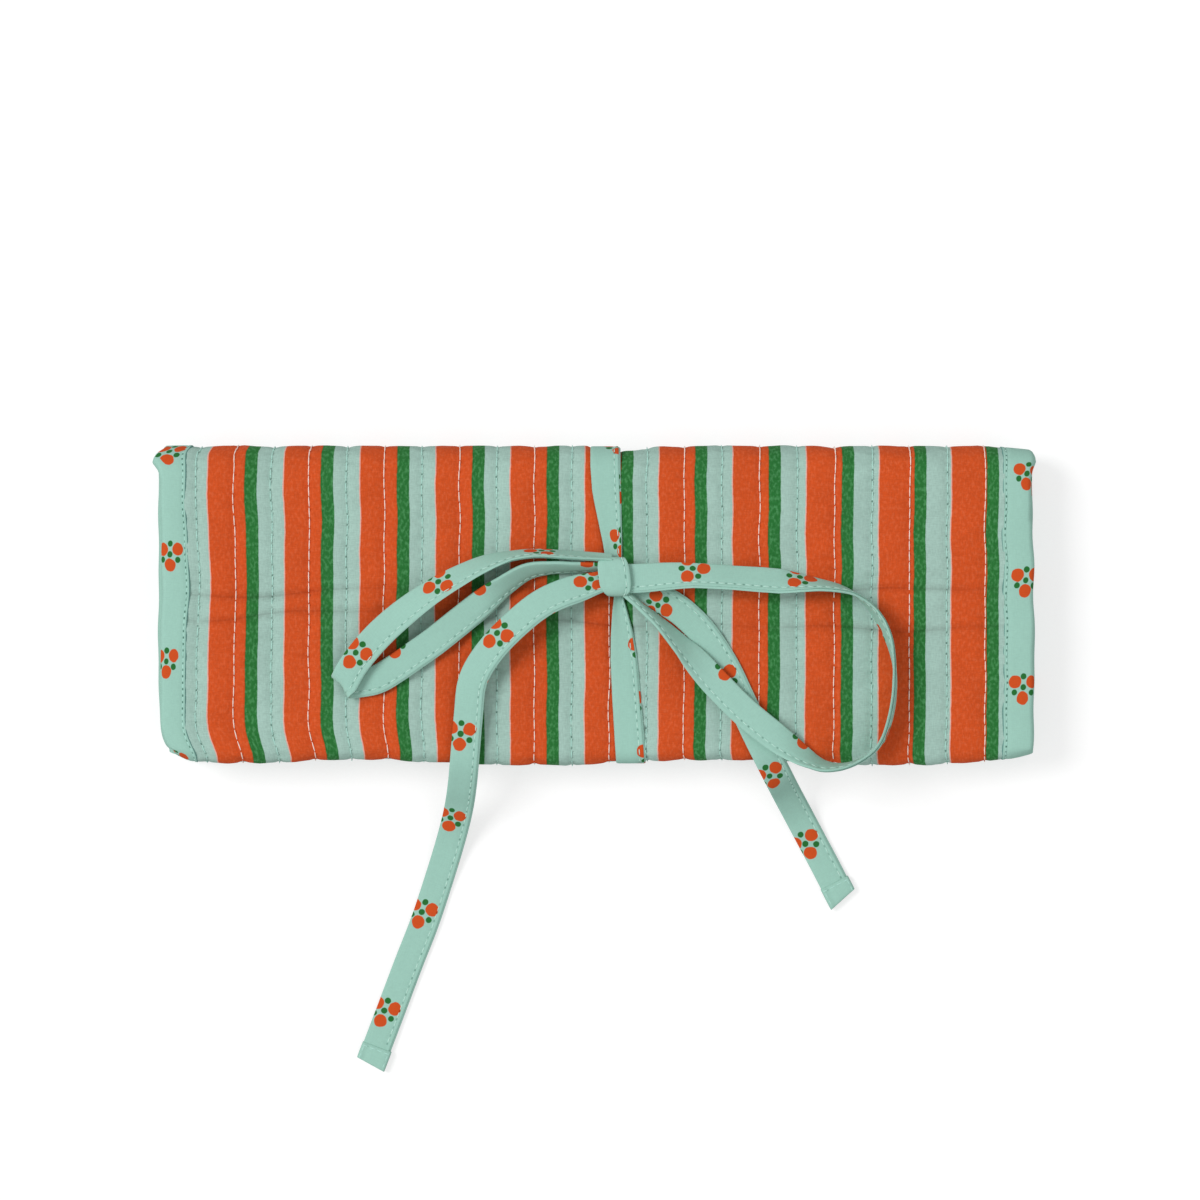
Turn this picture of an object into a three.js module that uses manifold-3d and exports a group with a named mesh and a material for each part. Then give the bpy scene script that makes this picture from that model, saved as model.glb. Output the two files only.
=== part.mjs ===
// A quilted jewellery roll, folded shut and tied with a ribbon bow.
// Millimetres, +Z up. X runs along the roll, +Y points to its back fold, and it lies on the plane z = 0.
// One quilted panel makes the whole roll. Seen from its end it is a spiral of five straight legs:
// the base on the table, the back fold, the flap on top, the front fold, and the inner flap between them.

import * as THREE from "three";
import { mergeVertices } from "three/addons/utils/BufferGeometryUtils.js";
import Module from "manifold-3d";

const wasm = await Module();
wasm.setup();

// The quilted panel.
const ROLL_LENGTH = 240;
const INNER_FLAP = 42; // depth of the end that is folded in first
const BACK_BAY = 44; // depth of the hollow behind that end, where the ring bar lies
const COVER = 0.7;
const WADDING = 1.4;
const LINING = 0.6;
const CLEARANCE = 0.3; // gap between pieces that touch
const JEWELLERY_GAP = 5.2; // free height between the zip pocket and the inner flap
const FLAP_GAP = 0.4; // between the inner flap's pocket and the flap's lining
const BACK_FOLD_FLAT = 1.6; // straight part of each fold, between its two round corners
const FRONT_FOLD_FLAT = 0.3;
const SEAM_PITCH = 10.26; // quilting lines, which run across the roll
const SEAM_DEPTH = 0.35; // how far a quilting line draws the cover in
const ARC_STEPS = 4; // segments in an eighth of a circle

// The binding tape along the cut edges.
const BINDING_WIDTH = 8.6;
const BINDING_TAPE = 0.7;

// The zip pocket on the base.
const POCKET_PANEL = 0.6;
const ZIP_FROM_FRONT = 51; // front edge of the roll to the middle of the zip
const ZIP_END_GAP = 7.1; // each end of the zip to the side binding
const ZIP_TAPE = 0.4;
const ZIP_TAPE_WIDTH = 7;
const ZIP_SLOT = 1.2; // between the two rows of coil
const COIL_WIDTH = 1.6;
const COIL_HEIGHT = 1;
const PANEL_SETBACK = 4.2; // middle of the zip to the edge of a pocket panel
const STOP_LENGTH = 3;
const SLIDER_LENGTH = 9;
const SLIDER_PLATE = 0.6;
const SLIDER_FLANGE = 0.5;
const SLIDER_POST = 0.6;
const SLIDER_POST_LENGTH = 2;
const SLIDER_END_GAP = 1; // slider to the closed end's stop
const BRIDGE_WIDTH = 1.2;
const BRIDGE_LEG = 0.8;
const BRIDGE_SPAN = 2.4; // clear opening under the bridge
const BRIDGE_TOP = 0.5;
const PULL_LENGTH = 15;
const PULL_WIDTH = 5;
const PULL_PLATE = 0.7;
const PULL_BAR = 1; // the bar of the pull that turns under the bridge
const PULL_EYE = 2.6;
const PULL_RAIL = 1.2;

// The ring bar and its snap on the flap's lining.
const RING_BAR = 7.4; // diameter
const RING_BAR_LENGTH = 90;
const RING_BAR_GAP = 0.6;
const RING_BAR_LEFT = -50; // x of the sewn end
const TAB_LENGTH = 14;
const TAB_WIDTH = 10;
const TAB_PLATE = 1;
const SNAP_RADIUS = 4.2;
const SNAP_SOCKET = 1.2;
const SNAP_BORE = 2;
const SNAP_POST = 1.6;
const SNAP_CAP = 0.9;

// The patch pocket on the inner flap's lining.
const PATCH = 0.6;
const PATCH_INSET = 2;

// The tie: a folded ribbon, sewn on at the front edge and at the back fold, and tied on the flap.
const RIBBON = 8;
const RIBBON_PLY = 1;
const KNOT_X = 5.6;
const KNOT_Y = 7.4;
const KNOT_LENGTH = 10.6; // along Y
const KNOT_WIDTH = 8.4;
const KNOT_HEIGHT = 5.6;
const KNOT_ROUND = 1.5;
const KNOT_GAP = 0.9; // knot to the middle of a loop's or tail's end
const BACK_BAND_X = 3; // where each band crosses its fold
const FRONT_BAND_X = 10.2;
const HEM_LENGTH = 5;
const HEM_PLY = 1.7;
const HEM_WIDTH = 8.6;

// Levels and places that follow from those sizes.
const quilt = COVER + WADDING + LINING + 2 * CLEARANCE;
const tapeBottom = quilt + CLEARANCE + SLIDER_PLATE + CLEARANCE;
const tapeTop = tapeBottom + ZIP_TAPE;
const panelBottom = tapeTop + CLEARANCE;
const baseTop = panelBottom + POCKET_PANEL;
const innerBottom = baseTop + JEWELLERY_GAP;
const patchBottom = innerBottom + quilt + CLEARANCE;
const flapBottom = patchBottom + PATCH + FLAP_GAP;
const rollHeight = flapBottom + quilt;
const rollDepth = INNER_FLAP + BACK_BAY;
const front = -rollDepth / 2;
const back = rollDepth / 2;
const right = ROLL_LENGTH / 2;
const bindingEdge = right - BINDING_WIDTH; // x where the side binding starts
const clothEdge = bindingEdge - CLEARANCE;
const backRadius = (rollHeight - BACK_FOLD_FLAT) / 2;
const frontRadius = (rollHeight - innerBottom - FRONT_FOLD_FLAT) / 2;
const zipY = front + ZIP_FROM_FRONT;
const zipEnd = clothEdge - ZIP_END_GAP;

// The spiral's corners, from the outer free edge to the inner one, on the cover's outer face.
const corners = [
  { y: front, z: 0, radius: 0 },
  { y: back, z: 0, radius: backRadius },
  { y: back, z: rollHeight, radius: backRadius },
  { y: front, z: rollHeight, radius: frontRadius },
  { y: front, z: innerBottom, radius: frontRadius },
  { y: front + INNER_FLAP, z: innerBottom, radius: 0 },
];
const legs = ["base", "back_fold", "flap", "front_fold", "inner"]; // each runs from a corner to the next

// Finishes.
const finish = (color, roughness, metalness = 0) => ({ color, roughness, metalness });
const STRIPE = finish(0xcd5023, 0.9);
const PRINT = finish(0x9fcab8, 0.9);
const BATTING = finish(0xf1eee6, 1);
const TAPE_CLOTH = finish(0x8fbfab, 0.85);
const NYLON = finish(0x86b5a2, 0.45);
const METAL = finish(0xb9a06a, 0.3, 1);

// One named mesh.
function piece(name, geometry, look) {
  const mesh = new THREE.Mesh(geometry, new THREE.MeshStandardMaterial(look));
  mesh.name = name;
  return mesh;
}

// A closed surface from points and triangles, with its faces turned outwards.
function closed(points, triangles) {
  let volume = 0;
  for (const [a, b, c] of triangles) {
    volume += points[a].dot(new THREE.Vector3().crossVectors(points[b], points[c]));
  }
  const facing = volume < 0 ? triangles.map(([a, b, c]) => [a, c, b]) : triangles;
  const geometry = new THREE.BufferGeometry().setFromPoints(points);
  return geometry.setIndex(facing.flat());
}

// A loft: rings of equally many points, joined side to side, with both ends filled in.
// outline is one ring drawn flat, which says how its inside is cut into triangles.
function loft(givenRings, givenOutline) {
  const clockwise = THREE.ShapeUtils.isClockWise(givenOutline);
  const rings = clockwise ? givenRings.map((ring) => ring.toReversed()) : givenRings;
  const outline = clockwise ? givenOutline.toReversed() : givenOutline;
  const count = outline.length;
  const triangles = [];
  for (let ring = 0; ring + 1 < rings.length; ring++) {
    for (let i = 0; i < count; i++) {
      const a = ring * count + i;
      const b = ring * count + ((i + 1) % count);
      triangles.push([a, b, a + count], [b, b + count, a + count]);
    }
  }
  const last = (rings.length - 1) * count;
  for (const [a, b, c] of THREE.ShapeUtils.triangulateShape(outline, [])) {
    triangles.push([a, c, b], [a + last, b + last, c + last]);
  }
  return closed(rings.flat(), triangles);
}

// Stations along one leg of the spiral. Each is a function from a depth below the cover's outer face
// to a point in the YZ plane. A leg owns half of the round corner at each of its ends.
// At a free edge, or where a stop is given, it ends square, that far from its corner.
function legStations(leg, { startStop = 0, endStop = 0 } = {}) {
  const [from, to] = corners.slice(legs.indexOf(leg));
  const along = new THREE.Vector2(to.y - from.y, to.z - from.z).normalize();
  const inward = new THREE.Vector2(-along.y, along.x);
  const place = (corner, run, depth) =>
    new THREE.Vector2(corner.y, corner.z).addScaledVector(along, run).addScaledVector(inward, depth);
  const roundEnd = (corner, side) => (share) => (depth) => {
    const radius = corner.radius - depth;
    const eighth = Math.PI / 4 - Math.asin(CLEARANCE / 2 / radius);
    const run = corner.radius - radius * Math.sin(eighth * share);
    return place(corner, side * run, corner.radius - radius * Math.cos(eighth * share));
  };
  const shares = Array.from({ length: ARC_STEPS + 1 }, (_, i) => i / ARC_STEPS);
  const stations = [];
  if (from.radius && !startStop) {
    stations.push(...shares.toReversed().map(roundEnd(from, 1)));
  } else {
    stations.push((depth) => place(from, startStop, depth));
  }
  if (to.radius && !endStop) {
    stations.push(...shares.map(roundEnd(to, -1)));
  } else {
    stations.push((depth) => place(to, -endStop, depth));
  }
  return stations;
}

// A solid along a leg, from its section drawn as [x, depth]. lean moves the section in x along the way.
function alongLeg(leg, section, stops, lean = [0, 0]) {
  const stations = legStations(leg, stops);
  const middles = stations.map((at) => at(0));
  const run = middles.map((p, i) => (i ? p.distanceTo(middles[i - 1]) : 0));
  const total = run.reduce((sum, step) => sum + step, 0);
  let done = 0;
  const rings = stations.map((at, i) => {
    done += run[i];
    const shift = THREE.MathUtils.lerp(lean[0], lean[1], done / total);
    return section.map(([x, depth]) => {
      const p = at(depth);
      return new THREE.Vector3(x + shift, p.x, p.y);
    });
  });
  return loft(rings, section.map(([x, depth]) => new THREE.Vector2(x, depth)));
}

// The section of a flat ply that reaches from -halfWidth to halfWidth.
function plySection(halfWidth, outer, inner) {
  return [[-halfWidth, outer], [halfWidth, outer], [halfWidth, inner], [-halfWidth, inner]];
}

// The cover's section where it shows its quilting: each seam draws the outer face in.
function quiltedSection() {
  const seamCount = Math.floor((2 * clothEdge) / SEAM_PITCH) + 1;
  const first = (-(seamCount - 1) * SEAM_PITCH) / 2;
  const outer = [[-clothEdge, 0]];
  for (let seam = 0; seam < seamCount; seam++) {
    const x = first + seam * SEAM_PITCH;
    if (seam) outer.push([x - SEAM_PITCH / 2, 0]);
    if (Math.abs(x) < clothEdge - CLEARANCE) outer.push([x, SEAM_DEPTH]);
  }
  outer.push([clothEdge, 0]);
  return [...outer, [clothEdge, COVER], [-clothEdge, COVER]];
}

// A binding's section: a tape folded round the panel's edge at x = right, thick plies deep.
function bindingSection(side, thick) {
  const web = right - BINDING_TAPE;
  const section = [
    [bindingEdge, 0],
    [right, 0],
    [right, thick],
    [bindingEdge, thick],
    [bindingEdge, thick - BINDING_TAPE],
    [web, thick - BINDING_TAPE],
    [web, BINDING_TAPE],
    [bindingEdge, BINDING_TAPE],
  ];
  return section.map(([x, depth]) => [side * x, depth]);
}

// Cover, wadding, lining and the two side bindings of one leg. The plies stop short of an end binding.
function quiltedLeg(leg, { thick = quilt, quilted = false, startBound = false, endBound = false } = {}) {
  const stopAt = (gap) => ({ startStop: startBound ? gap : 0, endStop: endBound ? gap : 0 });
  const wad = COVER + CLEARANCE;
  const lining = wad + WADDING + CLEARANCE;
  const insideTape = BINDING_TAPE + CLEARANCE;
  const besideTape = BINDING_WIDTH + CLEARANCE;
  const capped = thick > quilt; // the binding's inner edge lies on the pocket instead of beside the lining
  const cover = quilted ? quiltedSection() : plySection(clothEdge, 0, COVER);
  const liningStop = capped ? insideTape : besideTape;
  const liningEdge = capped ? right - insideTape : clothEdge;
  return [
    piece(`${leg}_cover`, alongLeg(leg, cover, stopAt(besideTape)), STRIPE),
    piece(
      `${leg}_wadding`,
      alongLeg(leg, plySection(right - insideTape, wad, wad + WADDING), stopAt(insideTape)),
      BATTING,
    ),
    piece(`${leg}_lining`, alongLeg(leg, plySection(liningEdge, lining, quilt), stopAt(liningStop)), PRINT),
    piece(`${leg}_binding_left`, alongLeg(leg, bindingSection(-1, thick), {}), PRINT),
    piece(`${leg}_binding_right`, alongLeg(leg, bindingSection(1, thick), {}), PRINT),
  ];
}

// A box between two corners.
function box(low, high) {
  const size = new THREE.Vector3().subVectors(high, low);
  const middle = new THREE.Vector3().addVectors(low, high).multiplyScalar(0.5);
  return new THREE.BoxGeometry(size.x, size.y, size.z).translate(middle.x, middle.y, middle.z);
}
const at = (x, y, z) => new THREE.Vector3(x, y, z);

// Several overlapping solids joined into one.
function joined(...geometries) {
  const solids = geometries.map((geometry) => {
    const bare = geometry.clone().deleteAttribute("normal").deleteAttribute("uv");
    const merged = mergeVertices(bare);
    return new wasm.Manifold(
      new wasm.Mesh({
        numProp: 3,
        vertProperties: merged.attributes.position.array,
        triVerts: new Uint32Array(merged.index.array),
      }),
    );
  });
  const mesh = solids.reduce((sum, solid) => sum.add(solid)).getMesh();
  const geometry = new THREE.BufferGeometry();
  geometry.setAttribute("position", new THREE.BufferAttribute(mesh.vertProperties, 3));
  return geometry.setIndex(new THREE.BufferAttribute(mesh.triVerts, 1));
}

// A binding across a free edge of the panel, between the two side bindings.
function endBinding(edgeY, inwardY, bottom, thick) {
  const reach = [edgeY, edgeY + inwardY * BINDING_WIDTH];
  const skin = [edgeY, edgeY + inwardY * BINDING_TAPE];
  const slab = ([a, b], low, high) =>
    box(at(-clothEdge, Math.min(a, b), bottom + low), at(clothEdge, Math.max(a, b), bottom + high));
  return joined(slab(reach, 0, BINDING_TAPE), slab(skin, 0, thick), slab(reach, thick - BINDING_TAPE, thick));
}

// The base's pocket: a front and a back panel with the zip between them.
function zipPocket() {
  const frontPanel = {
    startStop: BINDING_WIDTH + CLEARANCE,
    endStop: rollDepth - (ZIP_FROM_FRONT - PANEL_SETBACK),
  };
  const backPanel = { startStop: ZIP_FROM_FRONT + PANEL_SETBACK, endStop: backRadius + CLEARANCE };
  const section = plySection(clothEdge, panelBottom, baseTop);
  const half = zipEnd;
  const strip = (side, near, far, low, high, length) => {
    const ys = [zipY + side * near, zipY + side * far];
    return box(at(-length, Math.min(...ys), low), at(length, Math.max(...ys), high));
  };
  const coilBottom = tapeTop + CLEARANCE;
  const coilTop = coilBottom + COIL_HEIGHT;
  const inner = ZIP_SLOT / 2;
  const tapeOut = inner + ZIP_TAPE_WIDTH;
  const coilHalf = half - STOP_LENGTH - CLEARANCE;
  const stopHalf = inner + COIL_WIDTH;
  const stop = (x) =>
    box(
      at(x - STOP_LENGTH / 2, zipY - stopHalf, coilBottom),
      at(x + STOP_LENGTH / 2, zipY + stopHalf, coilTop),
    );
  const rows = [["front", -1], ["back", 1]].flatMap(([name, side]) => [
    piece(`zip_tape_${name}`, strip(side, inner, tapeOut, tapeBottom, tapeTop, half), TAPE_CLOTH),
    piece(`zip_coil_${name}`, strip(side, inner, inner + COIL_WIDTH, coilBottom, coilTop, coilHalf), NYLON),
  ]);
  return [
    piece("pocket_panel_front", alongLeg("base", section, frontPanel), PRINT),
    piece("pocket_panel_back", alongLeg("base", section, backPanel), PRINT),
    ...rows,
    piece("zip_stop_left", stop(-half + STOP_LENGTH / 2), METAL),
    piece("zip_stop_right", stop(half - STOP_LENGTH / 2), METAL),
  ];
}

// Levels and places of the slider, which stands at the zip's right end.
const plateBottom = tapeTop + CLEARANCE + COIL_HEIGHT + CLEARANCE;
const plateTop = plateBottom + SLIDER_PLATE;
const bridgeBottom = plateTop + CLEARANCE + PULL_PLATE + CLEARANCE;
const sliderX = zipEnd - STOP_LENGTH - SLIDER_END_GAP - SLIDER_LENGTH / 2;

// Two plates round the coil, the post between its rows, flanges outside them, and the pull's bridge.
function zipSlider() {
  const flangeIn = ZIP_SLOT / 2 + COIL_WIDTH + CLEARANCE;
  const flangeOut = flangeIn + SLIDER_FLANGE;
  const low = quilt + CLEARANCE;
  const halfLength = SLIDER_LENGTH / 2;
  const slab = (x0, x1, y0, y1, z0, z1) =>
    box(at(sliderX + x0, zipY + y0, z0), at(sliderX + x1, zipY + y1, z1));
  const legOut = BRIDGE_SPAN / 2 + BRIDGE_LEG;
  const halfBridge = BRIDGE_WIDTH / 2;
  const halfPost = SLIDER_POST / 2;
  const postEnd = halfLength - SLIDER_POST_LENGTH;
  const bridgeTop = bridgeBottom + BRIDGE_TOP;
  return joined(
    slab(-halfLength, halfLength, -flangeOut, flangeOut, plateBottom, plateTop),
    slab(-halfLength, halfLength, -flangeIn, flangeIn, low, low + SLIDER_PLATE),
    slab(postEnd, halfLength, -halfPost, halfPost, low, plateTop),
    slab(-halfLength, halfLength, flangeIn, flangeOut, tapeTop + CLEARANCE, plateTop),
    slab(-halfLength, halfLength, -flangeOut, -flangeIn, tapeTop + CLEARANCE, plateTop),
    slab(-legOut, -BRIDGE_SPAN / 2, -halfBridge, halfBridge, plateBottom, bridgeTop),
    slab(BRIDGE_SPAN / 2, legOut, -halfBridge, halfBridge, plateBottom, bridgeTop),
    slab(-legOut, legOut, -halfBridge, halfBridge, bridgeBottom, bridgeTop),
  );
}

// The pull lies to the left of the bridge. Its bar turns under the bridge, and the eye goes round a leg.
function zipPull() {
  const barRight = PULL_BAR / 2;
  const outline = new THREE.Shape();
  const half = PULL_WIDTH / 2;
  outline.moveTo(barRight, -half);
  outline.lineTo(barRight, half);
  outline.lineTo(barRight - PULL_LENGTH + half, half);
  outline.absarc(barRight - PULL_LENGTH + half, 0, half, Math.PI / 2, (3 * Math.PI) / 2, false);
  outline.closePath();
  const eye = new THREE.Path();
  const eyeRight = -PULL_BAR / 2;
  const eyeHalf = half - PULL_RAIL;
  eye.moveTo(eyeRight, -eyeHalf);
  eye.lineTo(eyeRight - PULL_EYE, -eyeHalf);
  eye.lineTo(eyeRight - PULL_EYE, eyeHalf);
  eye.lineTo(eyeRight, eyeHalf);
  eye.closePath();
  outline.holes.push(eye);
  const flat = { depth: PULL_PLATE, bevelEnabled: false, curveSegments: 8 };
  const plate = new THREE.ExtrudeGeometry(outline, flat);
  return plate.translate(sliderX, zipY, plateTop + CLEARANCE);
}

// The ring bar: a stuffed roll sewn to the lining at its left end, and held at its right end by a snap.
const barY = back - BACK_BAY / 2;
const barZ = flapBottom - RING_BAR_GAP - RING_BAR / 2;
const barRight = RING_BAR_LEFT + RING_BAR_LENGTH;
const tabTop = flapBottom - CLEARANCE - SNAP_SOCKET - CLEARANCE;
const tabLeft = barRight + CLEARANCE;
const snapX = tabLeft + TAB_LENGTH - SNAP_RADIUS - CLEARANCE;

function ringBarRoll() {
  const radius = RING_BAR / 2;
  const left = RING_BAR_LEFT + CLEARANCE;
  const steps = 4;
  const profile = [];
  for (let i = 0; i <= steps; i++) {
    const angle = (Math.PI / 2) * (i / steps);
    profile.push(new THREE.Vector2(radius * Math.sin(angle), left + radius - radius * Math.cos(angle)));
  }
  for (let i = 0; i <= steps; i++) {
    const angle = (Math.PI / 2) * (1 - i / steps);
    profile.push(new THREE.Vector2(radius * Math.sin(angle), barRight - radius + radius * Math.cos(angle)));
  }
  const roll = new THREE.LatheGeometry(profile, 14);
  return roll.rotateZ(-Math.PI / 2).translate(0, barY, barZ);
}

// A flat tab of cloth beside the bar, from x0 to x1.
function ringBarTab(x0, x1, top) {
  return box(at(x0, barY - TAB_WIDTH / 2, top - TAB_PLATE), at(x1, barY + TAB_WIDTH / 2, top));
}

// A round snap part: its profile is drawn as [radius, height above its seat].
function snapPart(profile, seat) {
  const points = profile.map(([radius, height]) => new THREE.Vector2(radius, height));
  return new THREE.LatheGeometry(points, 20).rotateX(Math.PI / 2).translate(snapX, barY, seat);
}

function ringBar() {
  const anchorTop = flapBottom - CLEARANCE;
  const rim = SNAP_RADIUS - 0.6;
  const socket = [
    [SNAP_BORE, 0],
    [SNAP_RADIUS, 0],
    [rim, SNAP_SOCKET],
    [SNAP_BORE, SNAP_SOCKET],
    [SNAP_BORE, 0],
  ];
  const postTop = CLEARANCE + SNAP_SOCKET;
  const stud = [[0, 0], [SNAP_POST, 0], [SNAP_POST, postTop], [0, postTop]];
  const cap = [[0, 0], [rim, 0], [SNAP_RADIUS, SNAP_CAP], [0, SNAP_CAP]];
  return {
    flap: [
      piece("ring_bar_anchor", ringBarTab(RING_BAR_LEFT - TAB_LENGTH, RING_BAR_LEFT, anchorTop), PRINT),
      piece("snap_socket", snapPart(socket, anchorTop - SNAP_SOCKET), METAL),
    ],
    bar: [
      piece("ring_bar_roll", ringBarRoll(), PRINT),
      piece("ring_bar_tab", ringBarTab(tabLeft, tabLeft + TAB_LENGTH, tabTop), PRINT),
      piece("snap_stud", snapPart(stud, tabTop), METAL),
      piece("snap_cap", snapPart(cap, tabTop - TAB_PLATE - CLEARANCE - SNAP_CAP), METAL),
    ],
  };
}

// The tie's bands lie outside the cover. A band on the flap runs from a fold to the middle of the knot.
function tieBands() {
  const section = plySection(RIBBON / 2, -CLEARANCE - RIBBON_PLY, -CLEARANCE);
  const toKnot = back - KNOT_Y;
  const bandGap = CLEARANCE;
  const anchorHeight = innerBottom + frontRadius * (1 - Math.SQRT1_2) - CLEARANCE;
  const anchorY = front - CLEARANCE;
  return {
    riserBack: piece(
      "tie_back_riser",
      alongLeg("back_fold", section, {}, [BACK_BAND_X, BACK_BAND_X]),
      PRINT,
    ),
    bandBack: piece(
      "tie_back_band",
      alongLeg("flap", section, { endStop: rollDepth - toKnot + bandGap }, [BACK_BAND_X, KNOT_X]),
      PRINT,
    ),
    bandFront: piece(
      "tie_front_band",
      alongLeg("flap", section, { startStop: toKnot + bandGap }, [KNOT_X, FRONT_BAND_X]),
      PRINT,
    ),
    riserFront: piece(
      "tie_front_riser",
      alongLeg("front_fold", section, {}, [FRONT_BAND_X, FRONT_BAND_X]),
      PRINT,
    ),
    anchor: piece(
      "tie_front_anchor",
      box(
        at(FRONT_BAND_X - RIBBON / 2, anchorY - RIBBON_PLY, CLEARANCE),
        at(FRONT_BAND_X + RIBBON / 2, anchorY, anchorHeight),
      ),
      PRINT,
    ),
  };
}

// The knot is a short stretch of ribbon over the crossing: a block with rounded corners and edges.
function knot() {
  const halfX = KNOT_WIDTH / 2 - KNOT_ROUND;
  const halfY = KNOT_LENGTH / 2 - KNOT_ROUND;
  const outline = new THREE.Shape();
  outline.moveTo(halfX, -halfY);
  outline.lineTo(halfX, halfY);
  outline.lineTo(-halfX, halfY);
  outline.lineTo(-halfX, -halfY);
  outline.closePath();
  const block = new THREE.ExtrudeGeometry(outline, {
    depth: KNOT_HEIGHT - 2 * KNOT_ROUND,
    bevelEnabled: true,
    bevelThickness: KNOT_ROUND,
    bevelSize: KNOT_ROUND,
    bevelSegments: 3,
  });
  return block.translate(KNOT_X, KNOT_Y, knotBottom + KNOT_ROUND);
}
const knotBottom = rollHeight + CLEARANCE + RIBBON_PLY + CLEARANCE;
const knotLeft = KNOT_X - KNOT_WIDTH / 2 - KNOT_GAP;
const knotRight = KNOT_X + KNOT_WIDTH / 2 + KNOT_GAP;

// A free ribbon along hand-chosen points [x, y, z, bank], joined by one smooth curve. The bank is the
// angle by which its right edge hangs down: at 0 the ribbon lies level, and at 90 it stands on that edge.
// Between the two points of a fold it turns over flat, straight from one side's direction to the other's.
const ROUTE_STEPS = 3; // stations from one point to the next
function ribbonFrames({ route, fold }) {
  const curve = new THREE.CatmullRomCurve3(route.map(([x, y, z]) => at(x, y, z)));
  const last = route.length - 1;
  const up = at(0, 0, 1);
  const sideAt = (t) => {
    const segment = Math.min(Math.floor(t * last), last - 1);
    const bank = THREE.MathUtils.lerp(route[segment][3], route[segment + 1][3], t * last - segment);
    const tangent = curve.getTangent(t);
    const level = new THREE.Vector3().crossVectors(tangent, up).normalize();
    return level.applyAxisAngle(tangent, THREE.MathUtils.degToRad(bank));
  };
  const foldedSideAt = (t) => {
    const [from, to] = fold.map((point) => point / last);
    if (t <= from || t >= to) return sideAt(t);
    const side = sideAt(from).lerp(sideAt(to), (t - from) / (to - from));
    return side.projectOnPlane(curve.getTangent(t)).normalize();
  };
  const frames = [];
  for (let i = 0; i <= last * ROUTE_STEPS; i++) {
    const t = i / (last * ROUTE_STEPS);
    const side = fold ? foldedSideAt(t) : sideAt(t);
    const normal = new THREE.Vector3().crossVectors(side, curve.getTangent(t));
    frames.push({ middle: curve.getPoint(t), side, normal });
  }
  return frames;
}
function ribbonRing({ middle, side, normal }, width, ply) {
  const outline = [[-1, -1], [1, -1], [1, 1], [-1, 1]];
  return outline.map(([across, through]) =>
    middle.clone().addScaledVector(side, (across * width) / 2).addScaledVector(normal, (through * ply) / 2),
  );
}
const flatRing = [[-1, -1], [1, -1], [1, 1], [-1, 1]].map(([x, y]) => new THREE.Vector2(x, y));

// The knot gathers a ribbon's ends: each has the share of its width that is left, and how far that reaches.
function gathered(run, { share, reach }) {
  return THREE.MathUtils.lerp(share, 1, THREE.MathUtils.smoothstep(run, 0, reach));
}
function ribbon({ route, fold, start, end }) {
  const frames = ribbonFrames({ route, fold });
  const runs = [0];
  for (let i = 1; i < frames.length; i++) {
    runs.push(runs[i - 1] + frames[i].middle.distanceTo(frames[i - 1].middle));
  }
  const rings = frames.map((frame, i) => {
    const width = RIBBON * gathered(runs[i], start) * gathered(runs.at(-1) - runs[i], end);
    return ribbonRing(frame, width, RIBBON_PLY);
  });
  return loft(rings, flatRing);
}

// The folded tip beyond a tail's end.
function hemTip(tail) {
  const end = ribbonFrames(tail).at(-1);
  const tangent = new THREE.Vector3().crossVectors(end.normal, end.side);
  const ring = (run) => {
    const middle = end.middle.clone().addScaledVector(tangent, run);
    return ribbonRing({ ...end, middle }, HEM_WIDTH, HEM_PLY);
  };
  return loft([ring(CLEARANCE), ring(CLEARANCE + HEM_LENGTH)], flatRing);
}

// The bow's routes. Heights on the roll are above its top face, and heights off it are above the table.
const onRoll = (height) => rollHeight + height;
const onTable = (height) => height;
const FREE_END = { share: 1, reach: 1 };
const leftLoop = {
  route: [
    [knotLeft, 12.4, onRoll(4.5), 72],
    [-7.9, 13.2, onRoll(5.2), 76],
    [-16.2, 13.6, onRoll(5.6), 77],
    [-22.5, 12.9, onRoll(5.8), 72],
    [-29.9, 10.7, onRoll(6), 54],
    [-36.5, 7.5, onRoll(6), 42],
    [-44.2, 3, onRoll(5.8), 32],
    [-53.6, -4.1, onRoll(5.4), 12],
    [-60, -10.2, onRoll(4.9), 2],
    [-65, -16.4, onRoll(4.3), 0],
    [-67.2, -20.2, onRoll(3.9), 0],
    [-68, -21.9, onRoll(2.9), 0],
    [-67, -21.7, onRoll(1.8), 90],
    [-63.8, -21.4, onRoll(1.4), 180],
    [-58.9, -20.4, onRoll(1.6), 181],
    [-53.7, -17.4, onRoll(2), 182],
    [-48.5, -13.8, onRoll(2.3), 182],
    [-43.3, -10.1, onRoll(2.6), 182],
    [-37.1, -5.2, onRoll(2.9), 184],
    [-30.8, -0.2, onRoll(3.3), 194],
    [-24.5, 4.7, onRoll(3.9), 224],
    [-18.2, 8.6, onRoll(4.3), 236],
    [-12, 9.7, onRoll(4.4), 247],
    [-5.8, 9.8, onRoll(4.2), 250],
    [knotLeft, 9.6, onRoll(3.8), 250],
  ],
  fold: [9, 13],
  start: { share: 0.6, reach: 14 },
  end: { share: 0.6, reach: 14 },
};
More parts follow.
